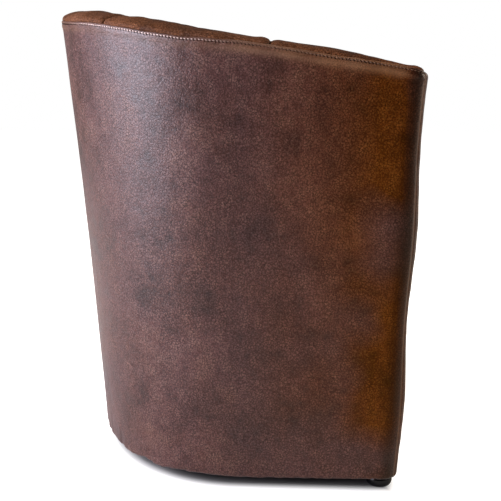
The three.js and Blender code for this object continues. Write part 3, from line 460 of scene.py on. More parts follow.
def leather(name, shade, body, rubbed, seed=0.0, deep_tone=1.0, matt=0.0):
    """Antique faux leather in three tones, with a seed that moves its clouds, the share of amber
    at its front, and how much rougher it is than the outside cover."""
    material, place = begin(name)
    moved = add(material, "Mapping", place, (seed, seed, seed))
    tall = add(material, "Mapping", moved, named={"Scale": (1, 1, STREAK_DRAW)})
    amber_patches = add(material, "TexNoise", moved, 1 / AMBER_PATCH, 2.0, 0.5)
    cloud = add(material, "TexNoise", moved, 1 / CLOUD, 3.0, 0.55)
    mottle = add(material, "TexNoise", moved, 1 / MOTTLE, 4.0, 0.6)
    fleck = add(material, "TexNoise", moved, 1 / FLECK, 1.0, 0.5, named={"Distortion": 0.4})
    streak = add(material, "TexNoise", tall, 1 / STREAK, 2.0, 0.5)
    # The print's hollows: a net of short curved lines between pebbles
    bent = add(material, "VectorMath", fleck.outputs["Color"], GRAIN_STIR, operation="SCALE")
    stirred = add(material, "VectorMath", moved, bent, operation="ADD")
    hollow = add(material, "TexVoronoi", stirred, 1 / GRAIN, feature="DISTANCE_TO_EDGE")
    # Tone: clouds and mottles, with a faint drawn streak
    half_cloud = add(material, "Math", cloud, 0.5, operation="MULTIPLY")
    patch = add(material, "Math", mottle, 0.5, half_cloud, operation="MULTIPLY_ADD")
    colour = add(material, "ValToRGB", patch, stops=[(0.34, shade), (0.66, rubbed), (0.5, body)])
    warm = add(material, "ValToRGB", cloud.outputs["Color"], stops=[(0.4, "#fff0e2"), (0.6, "#f3ecff")])
    faint = add(material, "ValToRGB", streak, stops=[(0.4, "#e4e0de"), (0.6, "#ffffff")])
    # Grain: dark in the hollows, pale where the wax has rubbed the tops
    lines = add(material, "ValToRGB", hollow, stops=[(0.0, "#4a4340"), (0.17, "#ffffff")])
    printed = add(material, "MapRange", mottle, 0.4, 0.6, 0.15, 0.75)
    dots = add(material, "ValToRGB", fleck, stops=[(0.36, "#6f6965"), (0.6, "#ffffff")])
    worn = add(material, "MapRange", fleck, 0.54, 0.72, 0.0, 0.22)
    # Amber towards the arm fronts in broad patches, thinner on the front faces, with reflections there
    # tinted amber too
    forward = add(material, "SeparateXYZ", place).outputs["Y"]
    near_front = add(material, "MapRange", forward, -30 * MM, -230 * MM, 0.0, deep_tone)
    front_face = add(material, "MapRange", forward, -264 * MM, -284 * MM, 1.0, 0.5)
    tone_share = add(material, "MapRange", amber_patches, 0.36, 0.56, 0.25, 1.0)
    fronts = add(material, "Math", near_front, front_face, operation="MULTIPLY")
    amber = add(material, "Math", fronts, tone_share, operation="MULTIPLY")
    tint = add(material, "Mix", amber, (1, 1, 1, 1), linear("#ffb050"), data_type="RGBA")
    # Painted highlight along a fold and painted shade along an edge, where the piece says so
    painted_light = add(material, "Attribute", attribute_name="painted_light").outputs["Fac"]
    painted_shade_edge = add(material, "MapRange", painted_light, 0.0, -1.0)
    painted_highlight_fold = add(material, "Math", painted_light, 0.6, operation="MULTIPLY")
    for mode, share, layer in (
        ("MULTIPLY", 0.6, warm),
        ("MULTIPLY", 0.4, faint),
        ("MULTIPLY", printed, lines),
        ("MULTIPLY", 0.65, dots),
        ("MIX", worn, linear("#70625a")),
        ("MULTIPLY", amber, linear("#ffd468")),
        # Painted shade along an edge, then a painted highlight along a fold
        ("MULTIPLY", painted_shade_edge, linear("#a58a78")),
        ("MIX", painted_highlight_fold, linear("#7d5b40")),
    ):
        colour = add(material, "Mix", share, colour, layer, data_type="RGBA", blend_type=mode)
    pebbles = add(material, "MapRange", hollow, 0.0, 0.25)
    reliefs = [(pebbles, 0.5, 0.16 * MM), (fleck, 0.5, 0.35 * MM), (mottle, 0.5, 1.3 * MM)]
    shine = add(material, "MapRange", hollow, 0.0, 0.2, 0.24 - 0.7 * matt, 0.42 - 1.2 * matt)
    roughness = add(material, "MapRange", patch, 0.38, 0.62, 0.34 + matt, 0.44 + matt)
    sockets = {"Specular Tint": tint, "Roughness": roughness, "Specular IOR Level": shine}
    return complete(material, colour, reliefs, sockets)


def wood(name, pale, dark, ring=9 * MM, length_axis=2):
    """Sawn or bent timber: matt, with growth lines drawn out along the grain."""
    material, place = begin(name)
    stretch = [1, 1, 1]
    stretch[length_axis] = GROWTH_DRAW
    drawn = add(material, "Mapping", place, named={"Scale": stretch})
    grain = add(material, "TexNoise", drawn, 1 / ring, 4.0)
    fibre = add(material, "TexNoise", drawn, 8 / ring, 2.0)
    tone = add(material, "ValToRGB", grain, stops=[(0.35, pale), (0.65, dark)])
    return complete(material, tone, [(fibre, 0.3, 0.3 * MM)], {"Roughness": 0.72})


def speckled(name, pale, dark, grain, roughness, relief=0.3 * MM, metallic=0.0, shine=0.5):
    """A surface of small grains: pressed board, foam cells, cloth fibres, moulded or plated skin."""
    material, place = begin(name)
    grains = add(material, "TexNoise", place, 1 / grain, 3.0)
    tone = add(material, "ValToRGB", grains, stops=[(0.4, pale), (0.6, dark)])
    sockets = {"Roughness": roughness, "Metallic": metallic, "Specular IOR Level": shine}
    return complete(material, tone, [(grains, 0.4, relief)], sockets)


def thread(name, lit_tone, deep_tone):
    """Sewing thread, painted pale where the lamps light it at the bend and darker with painted
    shade round the back and towards the arm fronts.
    """
    material, place = begin(name)
    forward = add(material, "SeparateXYZ", place).outputs["Y"]
    at_front = add(material, "MapRange", forward, 90 * MM, -20 * MM)
    at_back = add(material, "MapRange", forward, 200 * MM, 250 * MM)
    tone_share = add(material, "Math", at_front, at_back, operation="MAXIMUM")
    colour = add(material, "Mix", tone_share, linear(lit_tone), linear(deep_tone), data_type="RGBA")
    twist = add(material, "TexNoise", place, 1 / THREAD_TWIST, 2.0, 0.5)
    sockets = {"Roughness": 0.5, "Specular IOR Level": 0.2}
    return complete(material, colour, [(twist, 0.5, 0.2 * MM)], sockets)


def woven(name, pale, dark, pitch, roughness):
    """A plain weave: two sets of threads crossing at right angles."""
    material, place = begin(name)
    # A wave node's bands repeat twenty times as often as its scale says
    scale = 1 / pitch / 20
    ribs = [add(material, "TexWave", place, scale, bands_direction=axis).outputs["Fac"] for axis in "XY"]
    weave = add(material, "Math", *ribs, operation="MULTIPLY")
    tone = add(material, "ValToRGB", weave, stops=[(0.1, dark), (0.7, pale)])
    return complete(material, tone, [(weave, 0.5, 0.3 * MM)], {"Roughness": roughness})


SLOT_FINISHES = {
    # Dark brown, lilac grey where it shines and amber at the arm fronts, as photographed
    "outer_leather": leather("antique_leather_outside", "#341c17", "#54332c", "#6b493d"),
    # The same hide, painted lighter and warmer as the lit crown looks, with less amber and more matt, on
    # the crown and inside
    "lining_leather": leather("antique_leather_inside", "#432817", "#6a4429", "#85593a", 3.1, 0.4, 0.28),
    # The seat, between the two
    "seat_leather": leather("antique_leather_seat", "#3a2117", "#583527", "#704838", 7.7, 0.4, 0.14),
    # Pale straight timber with soft growth lines
    "pine": wood("planed_pine", "#caa874", "#a67c4a"),
    # Bent sheets, a little browner, with finer lines
    "plywood": wood("bent_plywood", "#b99467", "#94703f", 5 * MM, 0),
    # Pressed brown board with short fibres
    "hardboard": speckled("hardboard", "#7a5a3c", "#5d4229", 1.5 * MM, 0.8),
    # Cream foam with open cells
    "foam": speckled("cut_foam", "#eadfbe", "#d2c49b", 1.6 * MM, 0.95, 0.8 * MM),
    # Dark elastic straps with a visible weave
    "webbing": woven("elastic_webbing", "#3b3633", "#1d1a18", 2.0 * MM, 0.85),
    # Thin black cloth of bonded fibres, without gloss
    "black_cloth": speckled("black_spunbond_cloth", "#17171a", "#0d0d0f", 1.2 * MM, 0.9, 0.2 * MM),
    # Near black and smooth, with a low gloss
    "black_plastic": speckled(
        "moulded_black_polyamide", "#070708", "#0b0b0c", 2.5 * MM, 0.2, 0.05 * MM, shine=0.22
    ),
    # Bright screws with a faint spangle
    "zinc": speckled("zinc_plated_steel", "#c3c6ca", "#a9adb3", 1.5 * MM, 0.35, 0.05 * MM, 1.0),
}
# Pale dashes that stand out from the leather, darkened by painted shade at the back and fronts
THREAD = thread("polyester_thread", "#cdb8ae", "#5f4636")
# Painted shade of the needle holes: small near-black pricks between the stitches
HOLE_SHADE = speckled("needle_hole", "#120a07", "#1a0f0a", 0.6 * MM, 0.9, shine=0.1)


def dress_nodes():
    """Gives every node of the solid model the finish of its slot."""
    for row in frame["record"]["subparts"]:
        for slot in NODES[row["node"]].material_slots:
            slot.material = SLOT_FINISHES[row["material_slot"]]


# Outside cover

COLUMN_STEP = 5.2 * MM
ROW_STEP = 6.0 * MM
RIM_BAND = 24 * MM
# Rows of the rim band, down from the fold, and of its lip, in and up from it, in millimetres
RIM_ROWS = [22, 20, 18, 16, 14, 12.5, 11, 9.8, 8.6, 7.6, 6.6, 5.6, 4.8, 4, 3.4, 2.8, 2.2, 1.6, 1, 0.5, 0]
LIP_ROWS = [(0.4, 0.5), (1.1, 0.7), (1.9, 0.4), (2.3, -1.2)]
# Rows of every hem, from its tucked edge to its foot: distance in and height
HEM_ROWS = [(back * MM, SHELL_BOTTOM) for back in (20, 16.5, 13, 10, 8)]
for turn in np.radians([90, 72, 54, 36, 18, 0]):
    HEM_ROWS.append((HEM_RADIUS * (1 - math.cos(turn)), HEM_FOOT - HEM_RADIUS * math.sin(turn)))
# Creases seen in the leather: station, height, length, lean from upright, width and depth.
CREASES = [
    (-210, 560, 60, 0.5, 5, 0.7),
    (-190, 470, 70, 0.35, 6, 0.5),
    (-150, 300, 120, 0.1, 6, 0.6),
    (-120, 600, 40, -0.6, 5, 0.5),
    (-330, 150, 50, 0.9, 6, 0.5),
    (180, 520, 70, -0.4, 6, 0.6),
    (240, 260, 90, -0.2, 6, 0.5),
    (60, 380, 90, 0.15, 7, 0.5),
]
# How far the hem sags between its staples on the side of -X: station and drop, in millimetres.
HEM_SAGS = [(-700, 0), (-620, 1.2), (-530, 2.0), (-460, 0.4), (-400, 0.6), (-342, 3.9), (-303, -1.9)]
HEM_SAGS += [(-270, 3.2), (-246, 4.6), (-215, 1.6), (-182, 2.0), (-145, -1.2), (-110, 0), (0, 0)]


def spread(rows, along):
    """Two grids from rows of pairs, with each number spread along its row."""
    first, second = zip(*rows)
    blank = np.zeros_like(along)
    return np.array([blank + value for value in first]), np.array([blank + value for value in second])


def fold_height(station):
    """Height of the outside cover's fold at the rim."""
    behind = behind_front(station, rounded=True)
    return seam_height(station, rounded=True) - edge_loss(behind, NOSE_TOP_RADIUS)


def outside_rows(station):
    """Depths and heights of the outside cover at a row of stations, from its tucked hem to its lip,
    and the heights of its fold."""
    top = fold_height(station)
    count = int((SEAM_BACK - SHELL_BOTTOM) / ROW_STEP)
    shares = np.linspace(0, 1, count)[1:, None]
    rows = HEM_ROWS + [(0, height) for height in lerp(HEM_FOOT, top - RIM_BAND, shares)]
    rows += [(0, top - drop * MM) for drop in RIM_ROWS]
    rows += [(depth * MM, top + rise * MM) for depth, rise in LIP_ROWS]
    return *spread(rows, top), top


def crease_relief(station, height):
    """Creases with a faint ridge along each side, in millimetres."""
    relief = np.zeros(np.broadcast(station, height).shape)
    for at, up, length, lean, width, depth in CREASES:
        aside = (station - at * MM) * math.cos(lean) + (height - up * MM) * math.sin(lean)
        along = (height - up * MM) * math.cos(lean) - (station - at * MM) * math.sin(lean)
        line = bump(aside, 0, width) - 0.5 * bump(aside, 0, 2.2 * width)
        relief -= depth * line * bump(along, 0, length / 2)
    return relief


def outside_painted_light(across, drop, welt):
    """The painted light on the outside cover, with painted shade where it is less than zero: a
    painted highlight along the fold, painted shade beside the arm's corner, and pale again at the very
    edge."""
    fold = bump(drop, 9, 7) + 0.8 * bump(drop, 0, 3)
    painted_light = fold * lerp(1.0, 0.25, welt) * (0.8 + 0.25 * ripple(across, drop, 30, 30, 9.0))
    edge = CORNER_END - np.abs(across)
    painted_light = painted_light * onset(edge, 0, 30) - (1 - onset(edge, 12, 30))
    return lerp(painted_light, 0.8, bump(edge, 0, 3.5))


def make_outside_cover():
    """The outside cover in one piece, with a sagging hem and a soft ridge under its fold. Round the
    near half of the back the fold lies flatter, like a welt."""
    station = np.linspace(CORNER_END, -CORNER_END, int(2 * CORNER_END / COLUMN_STEP))
    depth, height, top = outside_rows(station)
    across = np.broadcast_to(station, height.shape)
    low = fading(height - SHELL_BOTTOM, 13)
    far_sag = 2.2 * MM * ripple(across, 0.0, 42, 1, 8.1)
    sag = lerp(along_rim(across, HEM_SAGS), far_sag, onset(across, -90, 60))
    height = height - sag * low + 0.4 * MM * ripple(across, 0.0, 15, 1, 4.2) * low
    points = wall(across, depth, height, rounded=True)
    drop = top - height
    welt = onset(across, -560, 120) * onset(-across, 60, 120)
    relief = 0.75 * bump(drop, 1.1, 1.1) - 0.8 * bump(drop - STITCH_DROP, 0, 0.8)
    relief += lerp(1.0, 0.35, welt) * bump(drop, 8.0, 4.2)
    relief += 0.45 * ripple(across, height, 120, 160, 1.0)
    relief += 0.22 * ripple(across, height, 34, 60, 2.0)
    relief += 0.35 * ripple(across, height, 16, 30, 3.0) * fading(drop, 15)
    relief += 0.9 * ripple(across, height, 13, 45, 5.0) * fading(height - SHELL_BOTTOM, 22)
    relief += crease_relief(across, height)
    relief[-len(LIP_ROWS) :] = relief[-len(LIP_ROWS) - 1]
    # Painted light: a painted highlight along the fold and painted shade beside the arm's corner
    painted_light = outside_painted_light(across, drop, welt)
    lie = (across, height)
    cover = skin("outside_cover", points, relief, lie, ["outer_cover"], "outer_leather", painted_light)
    thicken(cover)


# Inside covers: one skin for each panel, from the rim seam over the crown and down to the seat

ARCH_OUT_ROWS = 14
ARCH_IN_ROWS = 18
WALL_ROWS = 60
PANEL_FOOT = 372 * MM
PANEL_STEP = 5.0 * MM
PANEL_GAP = 0.25 * MM


def panel_rows(station):
    """Depths and heights of the inside cover at a row of stations, from the rim seam down."""
    behind = behind_front(station)
    seam = seam_height(station) - edge_loss(behind, NOSE_TOP_RADIUS)
    start = edge_loss(behind, NOSE_RADIUS)
    draw = np.zeros_like(station)
    for at in (-ARM_SEAM, -BACK_SEAM, BACK_SEAM, ARM_SEAM):
        near = np.maximum(0, 1 - np.abs(station - at) / SEAM_SPREAD) ** 2
        draw = np.maximum(draw, SEAM_DRAW * near)
    far_lumps = 1.3 * MM * ripple(station, 0.0, 52, 1, 6.0)
    lumps = lerp(along_rim(station, CROWN_LUMPS), far_lumps, onset(station, -120, 60))
    peak = seam + crown_height(station) - SEAM_TOP_SHARE * draw
    peak += lumps * onset(behind - FACING_EDGE, 0, 20)
    hip = seam - CROWN_DROP
    edge = lining_depth(station, hip) - edge_loss(behind, NOSE_INNER_RADIUS) - draw
    rows = []
    for turn in np.linspace(0, math.pi / 2, ARCH_OUT_ROWS):
        depth = lerp(start, CROWN_PEAK_DEPTH, 1 - math.cos(turn))
        rows.append((depth, lerp(seam, peak, math.sin(turn))))
    for turn in np.linspace(math.pi / 2, 0, ARCH_IN_ROWS)[1:]:
        depth = lerp(CROWN_PEAK_DEPTH, edge, math.cos(turn))
        rows.append((depth, lerp(hip, peak, math.sin(turn))))
    for share in np.linspace(0, 1, WALL_ROWS)[1:]:
        height = lerp(hip, PANEL_FOOT, share)
        rows.append((edge + lining_depth(station, height) - lining_depth(station, hip), height))
    return spread(rows, station)


def make_panel(name, ends, seams, nodes, seed):
    """A panel of the inside cover between two stations, with the stations of its seams."""
    left, right = sorted(ends)
    count = int((right - left) / PANEL_STEP) + 1
    station = lerp(right, left, closer_ends(count))
    depth, height = panel_rows(station)
    across = np.broadcast_to(station, height.shape)
    points = wall(across, depth, height)
    steps = np.linalg.norm(np.diff(points, axis=0), axis=-1)
    down = np.concatenate([np.zeros((1, count)), np.cumsum(steps, axis=0)])
    away = np.min([np.abs(across - seam) for seam in seams], axis=0)
    relief = 0.8 * bump(down, 9, 6) - 1.8 * fading(down, 1.8)
    relief += 1.2 * bump(away, 12, 7) - 3.4 * fading(away, 2.2)
    relief += 1.1 * ripple(down, across, 15, 60, seed) * fading(away, 11)
    relief += 0.5 * ripple(across, down, 14, 30, seed + 1) * fading(down, 14)
    relief += 1.0 * ripple(across, down, 70, 70, seed + 2)
    relief += 0.35 * ripple(across, down, 24, 24, seed + 3)
    seat_fold = fading(np.abs(height - SEAT_EDGE_HEIGHT), 30)
    relief += 1.3 * ripple(across, height, 26, 60, seed + 4) * seat_fold
    panel = skin(name, points, relief, (across, down), nodes, "lining_leather")
    thicken(panel)


def make_inside_covers():
    """The back panel, then a flank panel on each side and an arm panel on each side."""
    ends = (BACK_SEAM - PANEL_GAP, PANEL_GAP - BACK_SEAM)
    make_panel("back_panel", ends, (BACK_SEAM, -BACK_SEAM), ["back_lining", "back_foam"], 11.0)
    for word, side, seed in (("left", -1, 23.0), ("right", 1, 37.0)):
        ends = (side * (BACK_SEAM + PANEL_GAP), side * (ARM_SEAM - PANEL_GAP))
        seams = (side * BACK_SEAM, side * ARM_SEAM)
        nodes = [f"flank_lining_{word}", f"arm_foam_{word}"]
        make_panel(f"flank_panel_{word}", ends, seams, nodes, seed)
    for word, side, seed in (("left", -1, 41.0), ("right", 1, 59.0)):
        ends = (side * (ARM_SEAM + PANEL_GAP), side * LINING_END)
        seams = (side * ARM_SEAM, side * (LINING_END + 1 * MM))
        make_panel(f"arm_panel_{word}", ends, seams, [f"arm_lining_{word}"], seed)


# Arm fronts

FACING_COLUMNS = 26
FACING_STEP = 5.0 * MM


def facing_top(depth):
    """The crown's outline seen from the front, where it meets the facing."""
    seam = float(seam_height(np.array(LINING_END)))
    peak = seam + CROWN_FRONT
    hip = seam - CROWN_DROP
    rise = np.clip(1 - depth / CROWN_PEAK_DEPTH, 0, 1)
    fall = np.clip((depth - CROWN_PEAK_DEPTH) / (WALL - CROWN_PEAK_DEPTH), 0, 1)
    outer = seam + (peak - seam) * np.sqrt(1 - rise**2)
    inner = hip + (peak - hip) * np.sqrt(1 - fall**2)
    return np.where(depth < CROWN_PEAK_DEPTH, outer, inner)


def make_facing(word, side):
    """The cover of an arm's front, from its tucked hem to the seam round its edge."""
    outer = edge_loss(FACING_EDGE, NOSE_RADIUS)
    inner = WALL - edge_loss(FACING_EDGE, NOSE_INNER_RADIUS)
    top_edge = edge_loss(FACING_EDGE, NOSE_TOP_RADIUS)
    depth = lerp(outer, inner, closer_ends(FACING_COLUMNS))
    shares = np.linspace(0, 1, int((SEAM_FRONT - HEM_FOOT) / FACING_STEP))
    shares = lerp(shares, np.sin(math.pi / 2 * shares), 0.4)[1:, None]
    rows = HEM_ROWS + [(0, height) for height in lerp(HEM_FOOT, facing_top(depth) - top_edge, shares)]
    tuck, height = spread(rows, depth)
    depth = np.broadcast_to(depth, height.shape)
    under_top = np.maximum(facing_top(depth) - height, 0)
    behind = np.cbrt(
        edge_loss(depth, NOSE_RADIUS) ** 3
        + edge_loss(WALL - depth, NOSE_INNER_RADIUS) ** 3
        + edge_loss(under_top, NOSE_TOP_RADIUS) ** 3
    )
    behind = np.minimum(behind, FACING_EDGE)
    _, half, front, _ = plan(height)
    y = behind - front - wave(height, behind) + tuck
    points = np.stack([side * (half - depth), y, height], axis=-1)
    if side > 0:
        points = points[:, ::-1]
        depth = depth[:, ::-1]
        height = height[:, ::-1]
    edge = np.minimum(depth - outer, inner - depth)
    edge = np.minimum(edge, np.maximum(facing_top(depth) - top_edge - height, 0))
    relief = 0.3 * bump(edge, 8, 5) - 0.9 * fading(edge, 1.6)
    relief += 0.5 * ripple(height, depth, 16, 40, 71.0 + side) * fading(edge, 9)
    relief += 0.7 * ripple(height, depth, 90, 50, 75.0 + side)
    relief += 0.25 * ripple(height, depth, 25, 25, 79.0 + side)
    relief += 0.8 * ripple(depth, height, 12, 45, 83.0 + side) * fading(height - SHELL_BOTTOM, 20)
    nodes = [f"arm_facing_{word}", f"arm_front_foam_{word}"]
    facing = skin(f"arm_front_{word}", points, relief, (depth, height), nodes, "outer_leather")
    thicken(facing)


# Front panel under the seat

FRONT_COLUMNS = 90
FRONT_STEP = 5.0 * MM
FRONT_BULGE = 3 * MM
FRONT_TURN = 3.5 * MM
# Its top edge, turned back over the board: distance back and height from the cushion's foot.
FRONT_TURN_IN = [(0.4, -1.6), (1.6, -0.5), (4, -0.1), (9, -0.1), (16, -0.1)]


def make_front_panel():
    """The cover of the front board, from its tucked hem to its edge turned in under the seat."""
    share = np.linspace(-1, 1, FRONT_COLUMNS)
    count = int((PAD_BOTTOM - SHELL_BOTTOM) / FRONT_STEP)
    heights = np.linspace(HEM_FOOT, PAD_BOTTOM - FRONT_TURN, count)[1:]
    rows = HEM_ROWS + [(0, height) for height in heights]
    rows += [(back * MM, PAD_BOTTOM + rise * MM) for back, rise in FRONT_TURN_IN]
    tuck, height = spread(rows, share)
    share = np.broadcast_to(share, height.shape)
    _, half, front, _ = plan(height)
    x = share * (half - WALL - SIDE_GAP)
    rise = (height - SHELL_BOTTOM) / (PAD_BOTTOM - SHELL_BOTTOM)
    out = FRONT_BULGE * np.sin(math.pi * np.clip(rise, 0, 1)) * (1 - share**2)
    y = SEAT_SETBACK - front - out + tuck
    points = np.stack([x, y, height], axis=-1)
    side = (1 - np.abs(share)) * half
    top = PAD_BOTTOM - height
    relief = 0.6 * bump(top, 14, 9) - 2.0 * fading(side, 5)
    relief += 0.7 * ripple(x, height, 15, 60, 91.0) * fading(top, 22)
    relief += 0.9 * ripple(x, height, 14, 50, 92.0) * fading(height - SHELL_BOTTOM, 20)
    relief += 0.8 * ripple(x, height, 110, 80, 93.0)
    relief += 0.3 * ripple(x, height, 28, 28, 94.0)
    relief[-len(FRONT_TURN_IN) :] = 0
    panel = skin("front_panel", points, relief, (x, height), ["front_cover"], "outer_leather")
    thicken(panel)


# Seat cushion

SEAT_SIDES = 120
SEAT_SHRINK = 7 * MM
SEAT_FOOT_LIFT = 4 * MM
SEAT_CROWN_SHRINK = 3 * MM
SEAT_VOXEL = 5.5 * MM
SEAT_CAP = 9 * MM
SEAT_PRESSURE = 4.0
SEAT_FRAMES = 20
SEAT_SEAM_DROP = 12 * MM
SEAT_SIDE_ROOM = 0.4 * MM
SEAT_BACK_ROOM = 1.5 * MM
SEAT_FOOT_ROOM = 0.3 * MM
# The front edge's seam is drawn in from here and dies away over this length, behind the front line
GROOVE_START = 4 * MM
GROOVE_LENGTH = 26 * MM
# How many levels the filled cushion is evened out at, and how much of each counts as its reach
REACH_LEVELS = 12
REACH_BAND = 5 * MM
REACH_SHARE = 0.995
# The front stands this much past its line, where the cushion swells over the edge
FRONT_SWELL = 1.012
# The cloth that the cushion is filled as
SEAT_CLOTH = {
    "quality": 5,
    "mass": 0.3,
    "tension_stiffness": 12,
    "compression_stiffness": 12,
    "shear_stiffness": 6,
    "bending_stiffness": 0.6,
    "use_pressure": True,
    "uniform_pressure_force": SEAT_PRESSURE,
}


def seat_outline(height, inset):
    """Points round the seat at a height, drawn in by an inset, from its front left corner round
    the back to its front right corner and along the front."""
    _, half, front, _ = plan(height)
    reach = SIDE_END + NOSE_RADIUS - SEAT_SETBACK
    station = np.linspace(-reach, reach, SEAT_SIDES)
    depth = lining_depth(station, height) + SIDE_GAP + inset
    sides = wall(station, depth, height)
    sides[:, 1] = np.maximum(sides[:, 1], SEAT_SETBACK + inset - front)
    width = sides[-1, 0]
    across = np.linspace(width, -width, SEAT_SIDES // 3)[1:-1]
    ahead = np.full_like(across, SEAT_SETBACK + inset - front)
    face = np.stack([across, ahead, np.full_like(across, height)], axis=-1)
    return np.concatenate([sides, face])


def seat_blank():
    """The cushion before it is filled: its outline drawn up from foot to rolled edge and crown."""
    roll_foot = SEAT_EDGE_HEIGHT - SEAT_ROLL
    levels = (PAD_BOTTOM + SEAT_FOOT_LIFT, (PAD_BOTTOM + roll_foot) / 2)
    outlines = [seat_outline(height, SEAT_SHRINK) for height in levels]
    radius = SEAT_ROLL - SEAT_SHRINK
    for turn in np.radians([0, 30, 60, 90]):
        inset = SEAT_ROLL - radius * math.cos(turn)
        outlines.append(seat_outline(roll_foot + radius * math.sin(turn), inset))
    centre = np.array([0, -SEAT_CENTRE, 0])
    edge = outlines[-1]
    for share in (0.85, 0.65, 0.4, 0.15):
        ring = centre * [1, 1, 0] + (edge - centre) * [share, share, 1]
        ring[:, 2] = edge[:, 2] + (SEAT_CROWN - SEAT_CROWN_SHRINK) * (1 - share**2)
        outlines.append(ring)
    return lofted("seat_blank", outlines)


def applied(thing):
    """The mesh of an object with its modifiers applied."""
    graph = bpy.context.evaluated_depsgraph_get()
    return bpy.data.meshes.new_from_object(thing.evaluated_get(graph))


def coordinates(mesh, field="co"):
    """The places of a mesh's vertices, or their normals."""
    spots = np.empty(len(mesh.vertices) * 3)
    mesh.vertices.foreach_get(field, spots)
    return spots.reshape(-1, 3)


def filled(mesh):
    """A closed mesh remeshed and blown up as cloth, with each point moved no further than a cap."""
    helper = placed("filling", mesh)
    scene = bpy.context.scene
    remesh = helper.modifiers.new("Remesh", "REMESH")
    remesh.mode = "VOXEL"
    remesh.voxel_size = SEAT_VOXEL
    even = applied(helper)
    helper.modifiers.clear()
    helper.data = even
    before = coordinates(even)
    cloth = helper.modifiers.new("Cloth", "CLOTH")
    for name, value in SEAT_CLOTH.items():
        setattr(cloth.settings, name, value)
    cloth.settings.effector_weights.gravity = 0
    cloth.point_cache.frame_start = 1
    cloth.point_cache.frame_end = SEAT_FRAMES
    for step in range(1, SEAT_FRAMES + 1):
        scene.frame_set(step)
    move = coordinates(applied(helper)) - before
    scene.frame_set(1)
    helper.modifiers.clear()
    length = np.linalg.norm(move, axis=1, keepdims=True)
    before = before + move * np.minimum(1, SEAT_CAP / np.maximum(length, 1e-9))
    even.vertices.foreach_set("co", before.ravel())
    bpy.data.objects.remove(helper)
    return even


def seat_room(height):
    """Half width, depth behind the bend's start and reach before it of the room for the cushion."""
    share, half, front, back = plan(height)
    hollow = BACK_HOLLOW * np.sin(math.pi * np.clip(share, 0, 1))
    wide = half - WALL - SIDE_GAP - SEAT_SIDE_ROOM
    deep = back + BEND_START - hollow - lining_depth(0.0, height) - SEAT_BACK_ROOM
    return wide, deep, front - SEAT_SETBACK - BEND_START


def filled_out(share, height):
    """Shares of the cushion's reach, raised at each height so that its outermost is 1."""
    levels = np.linspace(height.min(), SEAT_EDGE_HEIGHT - SEAT_ROLL, REACH_LEVELS)
    near = [np.abs(height - level) < REACH_BAND for level in levels]
    most = np.array([np.quantile(share[band], REACH_SHARE) for band in near])
    return share / np.interp(height, levels, most)


def fit_to_room(points):
    """Points of the filled cushion pressed out against the walls and the front line round it."""
    height = points[:, 2]
    wide, deep, before = seat_room(height)
    x = points[:, 0] / wide
    y = (points[:, 1] + BEND_START) / np.where(points[:, 1] > -BEND_START, deep, before)
    radial = np.hypot(x, np.maximum(y, 0))
    even = np.minimum(filled_out(radial, height), 1) / np.maximum(radial, 1e-9)
    ahead = np.minimum(filled_out(-y, height), FRONT_SWELL)
    x = x * even * wide
    y = np.where(y > 0, y * even * deep, -ahead * before) - BEND_START
    return np.stack([x, y, np.maximum(height, PAD_BOTTOM + SEAT_FOOT_ROOM)], axis=-1)


def make_seat():
    """The filled cushion, with a stitched groove along its front edge and soft puckers beside it."""
    mesh = filled(seat_blank())
    points = coordinates(mesh)
    x, y, height = points.T
    _, _, front, _ = plan(height)
    near_front = np.clip(1 - (y + front - GROOVE_START) / GROOVE_LENGTH, 0, 1)
    from_seam = height - (SEAT_EDGE_HEIGHT - SEAT_SEAM_DROP)
    relief = -2.6 * bump(from_seam, 0, 3.2) * near_front
    relief += 0.9 * ripple(x, height, 13, 50, 101.0) * fading(np.abs(from_seam), 14) * near_front
    relief += 0.9 * ripple(x, y, 75, 75, 103.0)
    relief += 0.35 * ripple(x, y, 24, 24, 105.0)
    points = fit_to_room(points) + coordinates(mesh, "normal") * relief[:, None] * MM
    wide = seat_room(points[:, 2])[0]
    points[:, 0] = points[:, 0].clip(-wide, wide)
    mesh.vertices.foreach_set("co", points.ravel())
    mesh.shade_smooth()
    mesh.name = "seat_cushion"
    cushion = piece("seat_cushion", mesh, ["seat_cover", "seat_foam"], "seat_leather")
    finer = cushion.modifiers.new("Finer", "SUBSURF")
    finer.levels = 1
    finer.render_levels = 1


# Stitches along the rim


def rim_row(name, material, drop, depth, size, shift=0.0):
    """A row of small beads along the outside cover, a distance under its fold."""
    bm = bmesh.new()
    count = int(2 * (CORNER_END - STITCH_END) / STITCH_PITCH)
    stations = (np.arange(count) - (count - 1) / 2) * STITCH_PITCH + shift
    ends = []
    for spots in (stations - 1 * MM, stations + 1 * MM):
        ends.append(wall(spots, depth, fold_height(spots) - drop, rounded=True))
    tilt = Matrix.Rotation(STITCH_TILT, 4, "Z") @ Matrix.Diagonal((*(Vector(size) / 2), 1))
    for start, end in zip(*ends):
        along = Vector(end - start).normalized()
        out = along.cross(Vector((0, 0, 1))).normalized()
        turn = Matrix((along, out.cross(along), out)).transposed().to_4x4()
        place = Matrix.Translation((start + end) / 2) @ turn @ tilt
        bmesh.ops.create_uvsphere(bm, u_segments=8, v_segments=6, radius=1, matrix=place)
    piece(name, mesh_of(bm, name), material=material)


def make_stitches():
    """The thread just under the fold of the outside cover, and at the end of each stitch a
    near-black bead of painted shade for its needle hole.
    """
    rim_row("rim_stitches", THREAD, STITCH_DROP, STITCH_DEPTH, STITCH_SIZE)
    rim_row("rim_hole_shades", HOLE_SHADE, HOLE_DROP, HOLE_DEPTH, HOLE_SIZE, STITCH_PITCH / 2)


# Glides and base cloth

GLIDE_CHAMFER = 0.6 * MM
GLIDE_BORE = 2.6 * MM
# The groove round a glide's top: distance in from its side and down from its top, in millimetres.
GLIDE_GROOVE = [(0, 3.4), (0.5, 3.0), (0.5, 2.4), (0, 2.0), (0, 0.6), (0.6, 0)]


